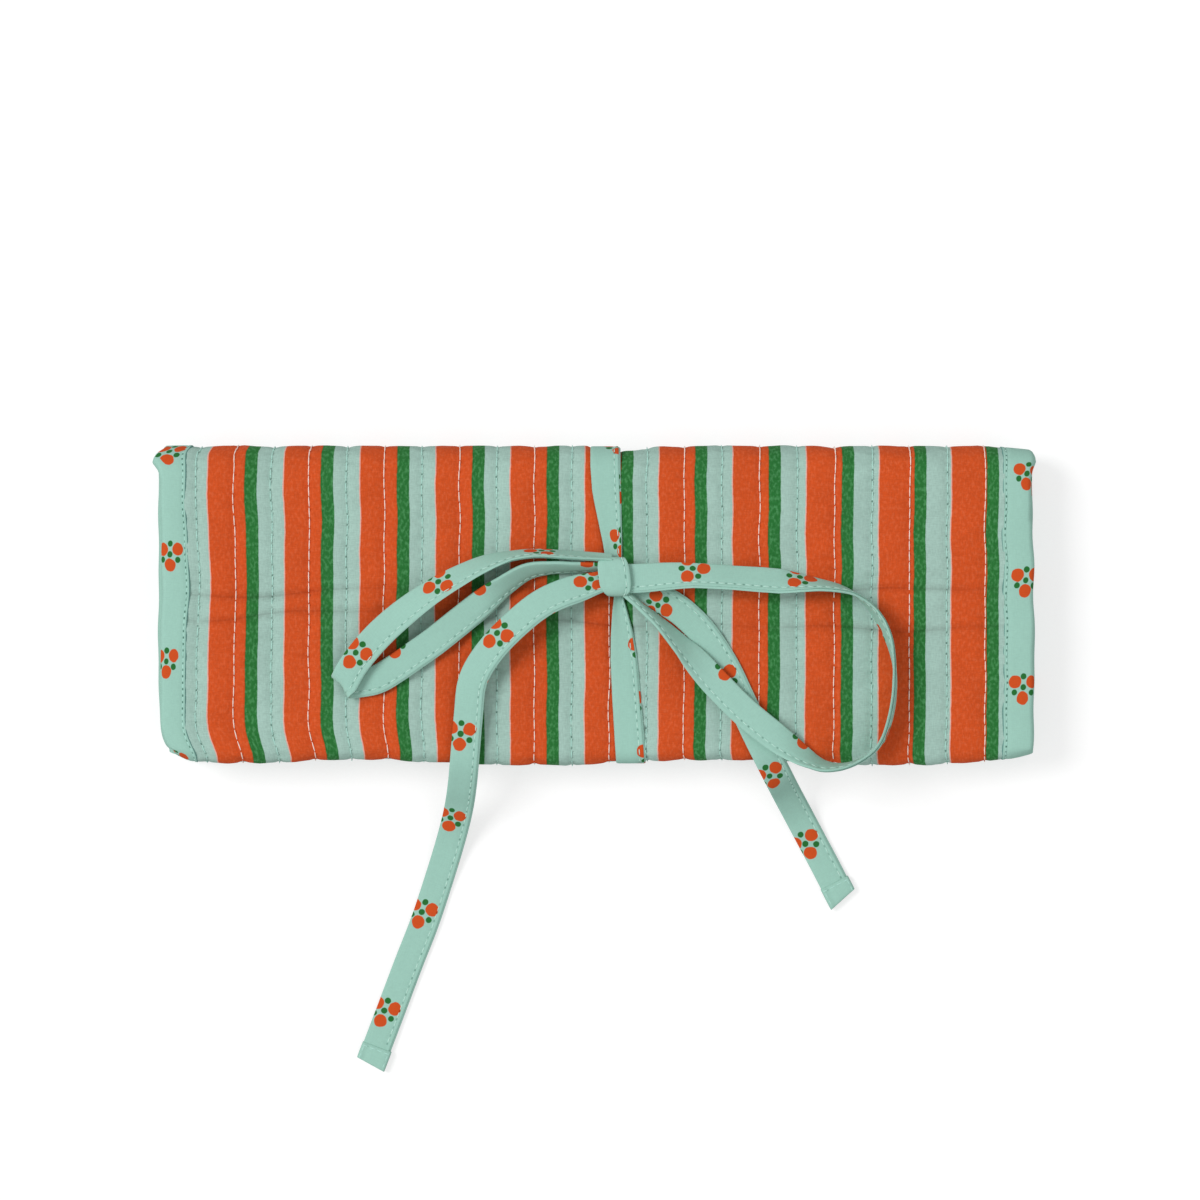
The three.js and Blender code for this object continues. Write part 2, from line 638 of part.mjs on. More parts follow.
const rightLoop = {
  route: [
    [knotRight, 6.9, onRoll(5), -4],
    [19.8, 7.5, onRoll(5.3), -22],
    [26.8, 7.7, onRoll(5.4), -34],
    [37.7, 7.1, onRoll(5.4), -36],
    [45.1, 6.6, onRoll(5.4), -32],
    [50, 6.2, onRoll(5.3), -34],
    [56, 5.7, onRoll(5.2), -56],
    [60.9, 5.2, onRoll(5.1), -69],
    [66.8, 4.1, onRoll(5), -80],
    [70.5, 2.6, onRoll(5), -89],
    [74.7, -0.8, onRoll(5), -99],
    [77.6, -5, onRoll(5), -105],
    [79.6, -9.5, onRoll(5), -100],
    [80.9, -15.4, onRoll(5), -90],
    [81.2, -20.6, onRoll(5), -84],
    [80.7, -26.9, onRoll(5), -82],
    [79.5, -32.5, onRoll(5), -82],
    [77.8, -36.9, onRoll(5), -83],
    [75.4, -40, onRoll(5), -86],
    [71.5, -42.5, onRoll(5), -90],
    [68.1, -43.7, onRoll(5), -95],
    [65, -44.1, onRoll(4.9), -101],
    [61.5, -43.7, onRoll(4.8), -112],
    [58.9, -42.6, onRoll(4.6), -120],
    [55, -40.3, onRoll(4.3), -140],
    [48.2, -35.4, onRoll(3.8), -171],
    [40.5, -29.1, onRoll(3.6), -180],
    [32.6, -21.2, onRoll(3.6), -178],
    [26.8, -14.8, onRoll(4.2), -152],
    [23.7, -11.5, onRoll(4.6), -132],
    [17.5, -4.8, onRoll(4.4), -116],
    [knotRight + 1.4, 0.2, onRoll(4), -114],
  ],
  start: FREE_END,
  end: { share: 0.5, reach: 24 },
};
const leftTail = {
  route: [
    [knotLeft, 5.6, onRoll(5.4), 14],
    [-8.9, 2.7, onRoll(7.2), 14],
    [-15.2, -0.5, onRoll(7.6), 12],
    [-23.9, -7.9, onRoll(7), 10],
    [-28.6, -13.2, onRoll(6), 8],
    [-31.7, -18, onRoll(5.2), 7],
    [-33.2, -22, onRoll(4.6), 6],
    [-34, -29.4, onRoll(3.8), 4],
    [-34.6, -36, onRoll(3.2), 3],
    [-35.2, -43, onRoll(1.8), 2],
    [-36, -50, onRoll(-3.4), 0],
    [-37.3, -57, onTable(8.2), 0],
    [-39.6, -65.6, onTable(3), 0],
    [-43, -76.6, onTable(1), 0],
    [-46.6, -87.4, onTable(0.85), 0],
    [-50.9, -98.4, onTable(0.85), 0],
    [-55.2, -109.8, onTable(0.9), 0],
    [-59.6, -121.4, onTable(1.2), 0],
  ],
  start: { share: 0.7, reach: 12 },
  end: FREE_END,
};
const rightTail = {
  route: [
    [knotRight + 1, 2.8, onRoll(0.9), 0],
    [17.2, 1.6, onRoll(0.9), 0],
    [22.2, -1, onRoll(0.9), 0],
    [26.8, -4.9, onRoll(0.9), 0],
    [30.6, -9.4, onRoll(0.9), 0],
    [35.4, -17, onRoll(0.9), 0],
    [39.9, -26.4, onRoll(1), 0],
    [43.9, -35, onRoll(1.3), 0],
    [47.4, -42, onRoll(0.9), 0],
    [50.2, -47.4, onRoll(-2.6), 0],
    [52.8, -52.2, onTable(8), 0],
    [56.2, -58.4, onTable(2.8), 0],
    [59.4, -64.4, onTable(1.2), 0],
    [62.6, -70.4, onTable(1), 0],
    [65.7, -76.4, onTable(1.2), 0],
  ],
  start: { share: 0.4, reach: 14 },
  end: FREE_END,
};

function bow() {
  return [
    piece("tie_knot", knot(), PRINT),
    piece("tie_left_loop", ribbon(leftLoop), PRINT),
    piece("tie_right_loop", ribbon(rightLoop), PRINT),
    piece("tie_left_tail", ribbon(leftTail), PRINT),
    piece("tie_right_tail", ribbon(rightTail), PRINT),
    piece("tie_left_tip", hemTip(leftTail), PRINT),
    piece("tie_right_tip", hemTip(rightTail), PRINT),
  ];
}

// The roll, by the groups that move together.
function group(name, ...meshes) {
  const made = new THREE.Group();
  made.name = name;
  return made.add(...meshes);
}

const bands = tieBands();
const bar = ringBar();
const innerPatch = alongLeg(
  "inner",
  plySection(clothEdge - PATCH_INSET, quilt + CLEARANCE, quilt + CLEARANCE + PATCH),
  { startStop: frontRadius + PATCH_INSET, endStop: BINDING_WIDTH + PATCH_INSET },
);
const base = group(
  "base",
  ...quiltedLeg("base", { thick: baseTop, startBound: true }),
  piece("base_binding_front", endBinding(front, 1, 0, baseTop), PRINT),
  ...zipPocket(),
  bands.anchor,
);
const slider = group("slider", piece("zip_slider", zipSlider(), METAL), piece("zip_pull", zipPull(), METAL));
const backFold = group("back_fold", ...quiltedLeg("back_fold", { quilted: true }), bands.riserBack);
const flap = group(
  "flap",
  ...quiltedLeg("flap", { quilted: true }),
  ...bar.flap,
  bands.bandBack,
  bands.bandFront,
  ...bow(),
);
const swingingBar = group("ring_bar", ...bar.bar);
const frontFold = group("front_fold", ...quiltedLeg("front_fold", { quilted: true }), bands.riserFront);
const inner = group(
  "inner_flap",
  ...quiltedLeg("inner", { endBound: true }),
  piece("inner_binding_end", endBinding(front + INNER_FLAP, -1, innerBottom, quilt), PRINT),
  piece("inner_patch_pocket", innerPatch, PRINT),
);

export default group("jewellery_roll", base, slider, backFold, flap, swingingBar, frontFold, inner);
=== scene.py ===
"""A quilted jewelry roll tied with a ribbon bow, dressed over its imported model.

Sizes are millimetres until a mesh is made. X runs along the roll, +Y to its back fold and +Z up.
The roll is one quilted panel. Seen from its end it is a spiral: the base on the table, the back fold,
the flap on top, the front fold, and the inner flap in the middle.
"""

import math

import bpy
import numpy as np
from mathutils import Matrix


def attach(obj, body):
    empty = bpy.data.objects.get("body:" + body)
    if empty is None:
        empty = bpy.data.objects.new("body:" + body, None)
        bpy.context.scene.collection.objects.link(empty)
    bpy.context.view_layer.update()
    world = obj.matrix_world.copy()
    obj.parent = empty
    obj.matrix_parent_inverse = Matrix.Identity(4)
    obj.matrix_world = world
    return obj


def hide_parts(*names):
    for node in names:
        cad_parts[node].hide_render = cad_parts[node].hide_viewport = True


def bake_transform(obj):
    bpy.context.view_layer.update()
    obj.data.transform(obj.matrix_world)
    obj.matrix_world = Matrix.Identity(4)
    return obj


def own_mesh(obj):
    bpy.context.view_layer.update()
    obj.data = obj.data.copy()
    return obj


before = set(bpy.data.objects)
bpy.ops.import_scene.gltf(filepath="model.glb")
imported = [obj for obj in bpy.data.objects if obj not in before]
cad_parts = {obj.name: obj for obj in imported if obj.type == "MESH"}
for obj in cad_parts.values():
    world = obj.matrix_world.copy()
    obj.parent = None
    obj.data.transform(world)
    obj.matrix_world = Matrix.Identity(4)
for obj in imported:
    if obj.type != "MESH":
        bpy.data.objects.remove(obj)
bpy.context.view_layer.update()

# The panel
MM = 0.001
FRONT = -43.0
BACK = 43.0
HEIGHT = 18.9
INNER_LEVEL = 11.0  # height of the inner flap's outer face
INNER_END = -1.0  # y of the inner flap's free edge
BACK_RADIUS = 8.65
FRONT_RADIUS = 3.8
COVER = 0.7
QUILT = 3.3
LINING = 0.6
CLOTH_EDGE = 111.3  # half width of the cloth between the side bindings
BINDING_HEM = CLOTH_EDGE - 0.5  # where a side binding's hem lies on the cloth
SIDE = 120.0  # half length of the roll
BINDING = 8.6
BASE_THICK = 5.8  # base with its zip pocket
POCKET_EDGE = CLOTH_EDGE + 0.2  # half length of the end bindings and the zip pocket

# The stitching
SEAM_COUNT = 22
SEAM_PITCH = 10.2
FIRST_SEAM = -108.1
STITCH = 2.9
STAGGER = 0.37  # shift from one quilting line's stitches to the next, as a share of a stitch
TOPSTITCH = 2.4
BINDING_STITCH = 1.75
STITCH_SHARE = 0.7  # how much of its pitch a topstitch's thread takes up
STITCH_INSET = 1.15  # from a binding's hem to its topstitching
THREAD = 0.16  # thread's radius
FINE_THREAD = 0.14
NEXT_POINT = 0.5  # a step along a seam that gives its direction
FAR_AWAY = 99.0  # a distance at which no stitch shows

# The tie
RIBBON = 8.0
RIBBON_PLY = 1.0
RIBBON_INSET = 1.7  # from the tape's edge to its topstitching
SET_BACK = 0.5  # how far one of the tape's two sewn folds lies inside the other
SPLIT = 0.4  # the slit's place from the tape's middle to the face of the inner fold
CUP = 1.6  # how far a gathered tape's edges would rise at no width
FIRST_STITCH = 1.5  # from a tape's end to the middle of its first stitch
RIBBON_THREAD = 1.7  # length of a stitch's thread
BAR_THREAD = 1.6  # the same where the tape is sewn across
THREAD_SINK = 0.12  # how deep a thread's middle lies in the tape
KNOT = (5.6, 7.4)
KNOT_BOTTOM = HEIGHT + 1.0
KNOT_TOP = HEIGHT + 7.2
KNOT_HALF = 5.3  # half its length along Y
KNOT_LINE = 3.0  # from its middle to its topstitching, along X
KNOT_STITCH = 0.42  # angle from one of its stitches to the next
KNOT_THREAD = 0.17
# The knot's profile: places along X from its middle, and the share of its full girth there
KNOT_PROFILE = (
    *((-3.6, 0.6), (-4.0, 0.78), (-4.25, 0.88), (-4.3, 0.94), (-4.1, 0.98), (-3.6, 1.0)),
    *((-2.0, 1.01), (0.0, 1.01), (2.0, 1.01), (2.7, 1.0), (KNOT_LINE, 0.975), (3.3, 1.0)),
    *((3.8, 1.0), (4.2, 0.98), (4.3, 0.94), (4.25, 0.88), (4.0, 0.78), (3.6, 0.6)),
)
FRONT_BAND_X = 10.0
BAND_PRESS = 0.75  # how far the tie sinks into the padding
CINCH = 1.2  # how far it draws the back fold in, most just right of it
CINCH_X = 9.5
# The tie over the flap: y, its middle's x, and its width there
FRONT_BAND = (
    (-43.0, FRONT_BAND_X, 8.3),
    (-36.0, 9.5, 8.2),
    (-25.0, 8.7, 7.9),
    (-14.7, 8.0, 7.4),
    (-8.0, 7.5, 6.2),
    (-2.0, 6.9, 4.2),
    (1.5, 6.6, 2.8),
    (4.4, 6.5, 2.4),
)
BACK_BAND = (
    (12.0, 5.3, 4.6),
    (17.0, 4.9, 5.4),
    (27.4, 3.7, 7.4),
    (31.2, 3.3, 8.0),
    (37.8, 3.0, 8.3),
    (43.0, 3.0, 8.3),
)

# The zip pocket
ZIP_Y = 8.0
ZIP_END = 104.0
ZIP_GAP = 4.0  # from the zip's middle to each cloth panel
TAPE_LEVEL = (4.5, 4.9)
TOOTH_LEVEL = 5.6
TOOTH_PITCH = 190 / 146  # the slider's travel is a whole number of teeth
TOOTH_LENGTH = 2.6
TOOTH_RADIUS = 0.52

# The ring bar and its tabs
BAR_Y = 21.0
BAR_Z = 11.3
BAR_RADIUS = 3.7
BAR_LEFT = -49.7
BAR_RIGHT = 40.0
TAB = 10.0  # width of a tab
ANCHOR_LEVEL = (14.3, 15.3)
TAB_LEVEL = (12.8, 13.8)

# The patch pocket
PATCH_HALF = 109.1  # half its length
PATCH_REACH = 36.2  # from the panel's end to its front edge

# The panel's path, as lengths and turning radii from the base's front edge to the inner flap's end
QUARTER = math.pi / 2
STRETCHES = (
    (BACK - FRONT - BACK_RADIUS, 0.0),
    (QUARTER * BACK_RADIUS, BACK_RADIUS),
    (HEIGHT - 2 * BACK_RADIUS, 0.0),
    (QUARTER * BACK_RADIUS, BACK_RADIUS),
    (BACK - FRONT - BACK_RADIUS - FRONT_RADIUS, 0.0),
    (QUARTER * FRONT_RADIUS, FRONT_RADIUS),
    (HEIGHT - INNER_LEVEL - 2 * FRONT_RADIUS, 0.0),
    (QUARTER * FRONT_RADIUS, FRONT_RADIUS),
    (INNER_END - FRONT - FRONT_RADIUS, 0.0),
)
STARTS = np.concatenate([[0.0], np.cumsum([length for length, _ in STRETCHES])])
PANEL_END = STARTS[-1]
FLAP_START = STARTS[4]
FLAP_MIDDLE = FLAP_START + BACK - BACK_RADIUS
FLAP_FRONT = STARTS[5]
BACK_MIDDLE = (STARTS[2] + STARTS[3]) / 2
FRONT_MIDDLE = (STARTS[6] + STARTS[7]) / 2

# The panel is made in four sections. Each crosses one fold corner.
SECTIONS = {
    "base": (0.0, BACK_MIDDLE),
    "back": (BACK_MIDDLE, FLAP_MIDDLE),
    "front": (FLAP_MIDDLE, FRONT_MIDDLE),
    "inner": (FRONT_MIDDLE, PANEL_END),
}
# Each corner as y and z: where its curve starts, its outer edge, and where its curve ends. Then the shares of
# the diagonal at which the bend starts and ends: the whole thickness is on one body where two sections meet.
BENDS = {
    "base": ((BACK - BACK_RADIUS, 0.0), (BACK, 0.0), (BACK, BACK_RADIUS), (0.2, 0.775)),
    "back": ((BACK, HEIGHT - BACK_RADIUS), (BACK, HEIGHT), (BACK - BACK_RADIUS, HEIGHT), (0.225, 0.8)),
    "front": ((FRONT + FRONT_RADIUS, HEIGHT), (FRONT, HEIGHT), (FRONT, HEIGHT - FRONT_RADIUS), (0.25, 0.54)),
    "inner": (
        (FRONT, INNER_LEVEL + FRONT_RADIUS),
        (FRONT, INNER_LEVEL),
        (FRONT + FRONT_RADIUS, INNER_LEVEL),
        (0.46, 0.75),
    ),
}


def spiral(run, depth):
    """A point of the folded panel and the panel's heading there.

    run is the distance along the outer face from the front edge, and depth the distance inwards from that
    face. A straight stretch goes on along its heading, and a turn is a quarter circle to the left.
    """
    run, depth = np.broadcast_arrays(np.asarray(run, float), np.asarray(depth, float))
    y, z, heading = np.zeros(run.shape), np.zeros(run.shape), np.zeros(run.shape)
    y0, z0, h = FRONT, 0.0, 0.0
    for (length, radius), start in zip(STRETCHES, STARTS):
        here = (run >= start) | (start == 0)
        t, d = run[here] - start, depth[here]
        if radius:
            cy, cz = y0 - radius * math.sin(h), z0 + radius * math.cos(h)
            a = h + np.minimum(t, length) / radius
            y[here], z[here] = cy + (radius - d) * np.sin(a), cz - (radius - d) * np.cos(a)
            h = h + length / radius
            y0, z0 = cy + radius * math.sin(h), cz - radius * math.cos(h)
        else:
            a = np.full(t.shape, h)
            y[here] = y0 + t * math.cos(h) - d * math.sin(h)
            z[here] = z0 + t * math.sin(h) + d * math.cos(h)
            y0, z0 = y0 + length * math.cos(h), z0 + length * math.sin(h)
        heading[here] = a
    return y, z, heading


def ripple(x, run, seed, longest, shortest, count=16):
    """Uneven cloth, about -1 to 1: a sum of sine waves with set lengths and chosen directions and phases."""
    pick = np.random.default_rng(seed)
    lengths = np.geomspace(longest, shortest, count)
    angles = pick.uniform(0, np.pi, count)
    phases = pick.uniform(0, 2 * np.pi, count)
    total = np.zeros(np.broadcast(x, run).shape)
    for length, angle, phase in zip(lengths, angles, phases):
        total += np.sin(2 * np.pi * (x * np.cos(angle) + run * np.sin(angle)) / length + phase)
    return total / math.sqrt(count)


def smooth(share):
    """Goes from 0 to 1 with a share, slowly at both ends."""
    share = np.clip(share, 0, 1)
    return share * share * (3 - 2 * share)


def unit(vectors):
    """Rows of vectors at length 1."""
    return vectors / np.linalg.norm(vectors, axis=1, keepdims=True)


def together(*parts):
    """Arrays brought to one shape and put side by side, as points or UVs."""
    return np.stack(np.broadcast_arrays(*parts), axis=-1)


def lengths_along(points):
    """The distance along a row of points from the first to each."""
    return np.concatenate([[0.0], np.cumsum(np.linalg.norm(np.diff(points, axis=0), axis=1))])


def outwards(heading):
    """The direction in which the panel's outer face looks at a heading."""
    return together(0.0, np.sin(heading), -np.cos(heading))


def off_table(run):
    """0 where the panel lies on the table, and 1 where the back fold has lifted it."""
    return np.clip((run - STARTS[1] + 4) / 8, 0, 1)


def sideways(x, run):
    """How far the cloth strays along X.

    Its side edges are drawn in, most at the front left corner. Its back left corner sticks out, its left
    end bulges in, the stripes lean a little, and the rest wavers.
    """
    y, _, _ = spiral(run, 0.0)
    left = np.clip((-x - 30) / 85, 0, 1)
    outer = np.clip((np.abs(x) - 111) / 9, 0, 1)
    left_edge = np.where(x < 0, outer, 0.0)
    on_flap = np.clip((run - STARTS[3]) / 12, 0, 1) * np.clip((STARTS[7] - run) / 6, 0, 1)
    below_flap = np.clip((run - STARTS[3]) / 12, 0, 1) - on_flap
    drawn_left = 1.7 * on_flap + 2.1 * below_flap + 0.5
    drawn_right = -1.2 * on_flap - 0.5 * below_flap
    drawn_in = outer * np.where(x < 0, drawn_left, drawn_right)
    front_corner = 3.0 * left * np.exp(-(((y - FRONT) / 6.0) ** 2))
    back_corner = (1.1 * np.clip((-x - 60) / 50, 0, 1) + 0.4 * left_edge) * np.exp(-(((BACK - y) / 1.4) ** 2))
    ear = left_edge * np.interp(run, STARTS[3] + np.array([2.5, 8.2, 11, 15]), [0, -1.8, -0.8, 0])
    bulge = 1.2 * np.clip((-x - 75) / 36, 0, 1) * (1 - 0.6 * outer) * np.exp(-(((y - 5) / 13) ** 2))
    right_corner = np.interp(run, STARTS[3] + np.array([0, 6, 10, 14]), [0, 0.7, 0.25, 0])
    right_end = (outer - left_edge) * (right_corner + 0.5 * on_flap * np.clip((23 - y) / 1.5, 0, 1))
    lean = -0.0065 * (BACK - y) * np.clip((x + 40) / 80, 0, 1) * np.clip((116 - x) / 20, 0, 1)
    waver = ripple(x * 0.25, run, 3, 70, 12, 8)
    ends = drawn_in + front_corner + back_corner + ear + right_end
    return ends + on_flap * (bulge + lean + 0.16 * waver)


def drawn_back(x, run, depth=0.0):
    """How far the panel's edges are drawn in along Y.

    The front edge goes in and out in slow waves, and is drawn in more at its two corners. The back fold is
    drawn in beside the tie and at its right end. In the front fold the outer face moves most and the inner
    face not at all, so the padding is pinched there.
    """
    y, _, _ = spiral(run, 0.0)
    pinched = np.clip((run - FLAP_FRONT) / 2 + 1, 0, 1)
    held = 1 - pinched * np.clip(depth / (QUILT + 0.1), 0, 1)
    left, right = np.clip((-x - 106) / 14, 0, 1), np.clip((x - 98) / 20, 0, 1)
    corners = (2.6 * left**2 + 2.2 * right**2) * np.exp(-(((y - FRONT) / 3.0) ** 2))
    wave = 0.7 * np.cos(2 * np.pi * (x + 65) / 98) * np.clip((112 - np.abs(x)) / 20, 0, 1)
    cinched = CINCH * np.exp(-(((x - CINCH_X) / 6) ** 2)) + 1.2 * np.clip((x - 106) / 14, 0, 1)
    at_back = np.exp(-(((BACK - y) / 5.0) ** 2))
    return held * (corners + wave * np.exp(-(((y - FRONT) / 7.0) ** 2))) - cinched * at_back


def crease_lines(x, sine):
    """The runs of two creases across the flap, each a sum of sine waves."""
    upper = 1.2 * sine(x / 23) + 0.6 * sine(x / 7.7 + 1) + (FLAP_MIDDLE - 3.4)
    lower = 2.2 * sine(x / 40) + 0.8 * sine(x / 17 + 2) + 0.5 * sine(x / 5.9) + (FLAP_MIDDLE + 4.6)
    return upper, lower


def seam_away(x):
    """The distance to the nearest quilting line, with its sign, and that line's number."""
    number = np.clip(np.round((x - FIRST_SEAM) / SEAM_PITCH), 0, SEAM_COUNT - 1)
    return x - FIRST_SEAM - number * SEAM_PITCH, number


def cover_depth(x, run):
    """How far the quilted cover lies below the panel's outer face.

    Between two quilting lines it swells by a squared cosine. A line adds a narrow groove, which dips
    at each stitch, and the cloth is slightly crumpled. The underside is pressed flat by the table.
    """
    away, number = seam_away(x)
    swell = np.cos(np.clip(away / SEAM_PITCH, -0.5, 0.5) * np.pi) ** 2
    groove = np.exp(-((away / 0.95) ** 2))
    dimple = -np.exp(-((away / 2.4) ** 2)) * np.cos(2 * np.pi * (run / STITCH + STAGGER * number))
    crumple = ripple(x * 0.7, run * 1.5, 11, 26, 5)
    upper, lower = crease_lines(x, np.sin)
    crease = np.exp(-np.abs(run - upper) / 1.1) * (0.6 + 0.4 * np.sin(x / 13 + 2))
    crease = crease + np.exp(-np.abs(run - lower) / 1.0) * (0.5 + 0.5 * np.sin(x / 11))
    pull = np.exp(-((away / 3.4) ** 2)) * ripple(0.15 * x + 3 * number, run, 13, 9, 3, 10)
    stretched = 1 - 0.35 * np.exp(-(((run - BACK_MIDDLE) / 9) ** 2))
    sewn = stretched * (0.24 * swell + 0.42 * groove + 0.18 * dimple + 0.22 * pull)
    free = -0.14 + sewn + 0.14 * crumple + 0.75 * crease
    flat = 0.02 + 0.3 * groove
    return flat + (free - flat) * off_table(run) + pressed(x, run)


def band_place(run):
    """Where the tie lies over the panel at a run: its middle's x and its width, which is 0 where it isn't."""
    y, _, _ = spiral(run, 0.0)
    behind = (run > STARTS[2] - 8) & (run < FLAP_MIDDLE - KNOT[1])
    before = (run > FLAP_MIDDLE - KNOT[1]) & (run < STARTS[7] + 3)
    back_y, back_x, back_width = np.array(BACK_BAND).T
    front_y, front_x, front_width = np.array(FRONT_BAND).T
    x = np.where(behind, np.interp(y, back_y, back_x), np.interp(y, front_y, front_x))
    wide = np.where(behind, np.interp(y, back_y, back_width), np.interp(y, front_y, front_width))
    return x, np.where(behind | before, wide, 0.0)


def pressed(x, run):
    """How far the tie presses the cover in: evenly under the tie, and less and less beside it.

    At the back fold the cover stays low for some way on the tie's right.
    """
    middle, wide = band_place(run)
    beyond = np.abs(x - middle) - wide / 2
    under = BAND_PRESS / (1 + np.exp(np.clip(beyond / 0.45, -40, 40)))
    beside = 0.4 * np.clip((x - middle) / 3, 0, 1) * np.exp(-np.clip(beyond, 0, 30) / 4)
    return np.where(wide > 0, under + beside * np.exp(-(((run - BACK_MIDDLE) / 9) ** 2)), 0.0)


def lining_depth(x, run):
    """The lining's face: the same quilting lines, shallower and pointing the other way."""
    away, _ = seam_away(x)
    groove = np.exp(-((away / 1.0) ** 2))
    return QUILT - 0.05 - 0.28 * groove + 0.06 * ripple(x, run, 5, 30, 7)


# Meshes


def put(name, points, faces, uv, finish, sharp=50.0, sewn=None):
    """An object from points and UVs in millimetres and a list of face arrays, which are quads or triangles.

    Edges that turn by more than sharp degrees stay sharp. sewn is a second UV, for the needle holes: the
    distance from a line of stitches, and the stitch's number.
    """
    mesh = bpy.data.meshes.new(name)
    points = np.asarray(points, float).reshape(-1, 3)
    sizes = np.concatenate([np.full(len(f), f.shape[1]) for f in faces])
    corners = np.concatenate([f.ravel() for f in faces]).astype(np.int32)
    mesh.vertices.add(len(points))
    mesh.vertices.foreach_set("co", (points * MM).ravel())
    mesh.loops.add(len(corners))
    mesh.loops.foreach_set("vertex_index", corners)
    mesh.polygons.add(len(sizes))
    mesh.polygons.foreach_set("loop_start", np.concatenate([[0], np.cumsum(sizes)[:-1]]).astype(np.int32))
    sewn = np.full((len(points), 2), FAR_AWAY) if sewn is None else sewn
    for layer_name, places in (("UVMap", uv), ("Stitches", sewn)):
        layer = mesh.uv_layers.new(name=layer_name)
        layer.data.foreach_set("uv", np.asarray(places, float).reshape(-1, 2)[corners].ravel())
    mesh.update(calc_edges=True)
    mesh.validate()
    mesh.shade_smooth()
    mesh.set_sharp_from_angle(angle=math.radians(sharp))
    mesh.materials.append(finish)
    piece = bpy.data.objects.new(name, mesh)
    bpy.context.collection.objects.link(piece)
    return piece


def net(rows, columns, first=0, round_columns=False, flip=False):
    """The quads of a grid of points, row by row. round_columns joins the last column to the first."""
    index = np.arange(rows * columns).reshape(rows, columns) + first
    right = np.roll(index, -1, axis=1) if round_columns else index[:, 1:]
    left = index if round_columns else index[:, :-1]
    quads = np.stack([left[:-1], right[:-1], right[1:], left[1:]], axis=-1).reshape(-1, 4)
    return quads[:, ::-1] if flip else quads


def slab(name, face, back, uv, finish):
    """A closed sheet between two grids of points. face is seen from the side where its rows turn left."""
    rows, columns = face.shape[:2]
    count = rows * columns
    index = np.arange(count).reshape(rows, columns)
    rim = np.concatenate([index[0, :-1], index[:-1, -1], index[-1, :0:-1], index[:0:-1, 0]])
    after = np.roll(rim, -1)
    edge = np.stack([rim, rim + count, after + count, after], axis=-1)
    points = np.concatenate([face.reshape(-1, 3), back.reshape(-1, 3)])
    faces = [net(rows, columns), net(rows, columns, count, flip=True), edge]
    return put(name, points, faces, np.concatenate([uv.reshape(-1, 2)] * 2), finish)


def loft(name, rings, uv, finish, sharp, sewn=None):
    """A closed solid from rings of points, one after another, with each end filled from its middle."""
    rows, columns = rings.shape[:2]
    count = rows * columns
    points = np.concatenate([rings.reshape(-1, 3), rings[0].mean(0)[None], rings[-1].mean(0)[None]])
    uvs = np.concatenate([uv.reshape(-1, 2), uv[0].mean(0)[None], uv[-1].mean(0)[None]])
    if sewn is not None:
        sewn = np.concatenate([sewn.reshape(-1, 2), np.full((2, 2), FAR_AWAY)])
    around = np.arange(columns)
    after = np.roll(around, -1)
    before_last = count - columns
    first = together(after, around, count)
    last = together(around + before_last, after + before_last, count + 1)
    faces = [net(rows, columns, round_columns=True), first, last]
    return put(name, points, faces, uvs, finish, sharp, sewn)


def turned_out(piece):
    """Turns a closed piece's faces outwards, where its grid was laid the other way round."""
    mesh = piece.data
    corners = np.empty(len(mesh.vertices) * 3)
    mesh.vertices.foreach_get("co", corners)
    mesh.calc_loop_triangles()
    triangles = np.empty(len(mesh.loop_triangles) * 3, np.int32)
    mesh.loop_triangles.foreach_get("vertices", triangles)
    a, b, c = corners.reshape(-1, 3)[triangles.reshape(-1, 3)].transpose(1, 0, 2)
    if np.einsum("ij,ij->i", a, np.cross(b, c)).sum() < 0:
        mesh.flip_normals()
    return piece


def threads(name, middles, along, up, length, finish, radius=THREAD):
    """Short rounded stitches: one small spindle of six sides at each middle, lying along its direction."""
    reach = np.array([-1.0, -0.78, 0.0, 0.78, 1.0])
    girth = np.array([0.0, 0.72, 1.0, 0.72, 0.0])
    rows, sides = len(reach), 6
    around = np.arange(sides)
    angle = around * 2 * np.pi / sides
    side = unit(np.cross(along, up))
    lift = np.cross(side, along)
    ring = girth[:, None] * radius
    local_side = ring * np.cos(angle)
    local_lift = ring * np.sin(angle)
    local_along = np.repeat(reach[:, None] * length / 2, sides, axis=1)
    points = (
        middles[:, None, None]
        + local_along[..., None] * along[:, None, None]
        + local_side[..., None] * side[:, None, None]
        + local_lift[..., None] * lift[:, None, None]
    )
    each = net(rows, sides, round_columns=True)[sides:-sides]
    after = np.roll(around, -1)
    tip = (rows - 1) * sides
    starts = together(0, after + sides, around + sides)
    ends = together(tip, around + tip - sides, after + tip - sides)
    shift = (np.arange(len(middles)) * rows * sides)[:, None, None]
    faces = [(part[None] + shift).reshape(-1, part.shape[1]) for part in (each, starts, ends)]
    flat = points.reshape(-1, 3)
    used, index = np.unique(np.concatenate([f.ravel() for f in faces]), return_inverse=True)
    cut = np.split(index, np.cumsum([f.size for f in faces])[:-1])
    faces = [part.reshape(f.shape) for part, f in zip(cut, faces)]
    return turned_out(put(name, flat[used], faces, flat[used, :2], finish, 180.0))


# Finishes


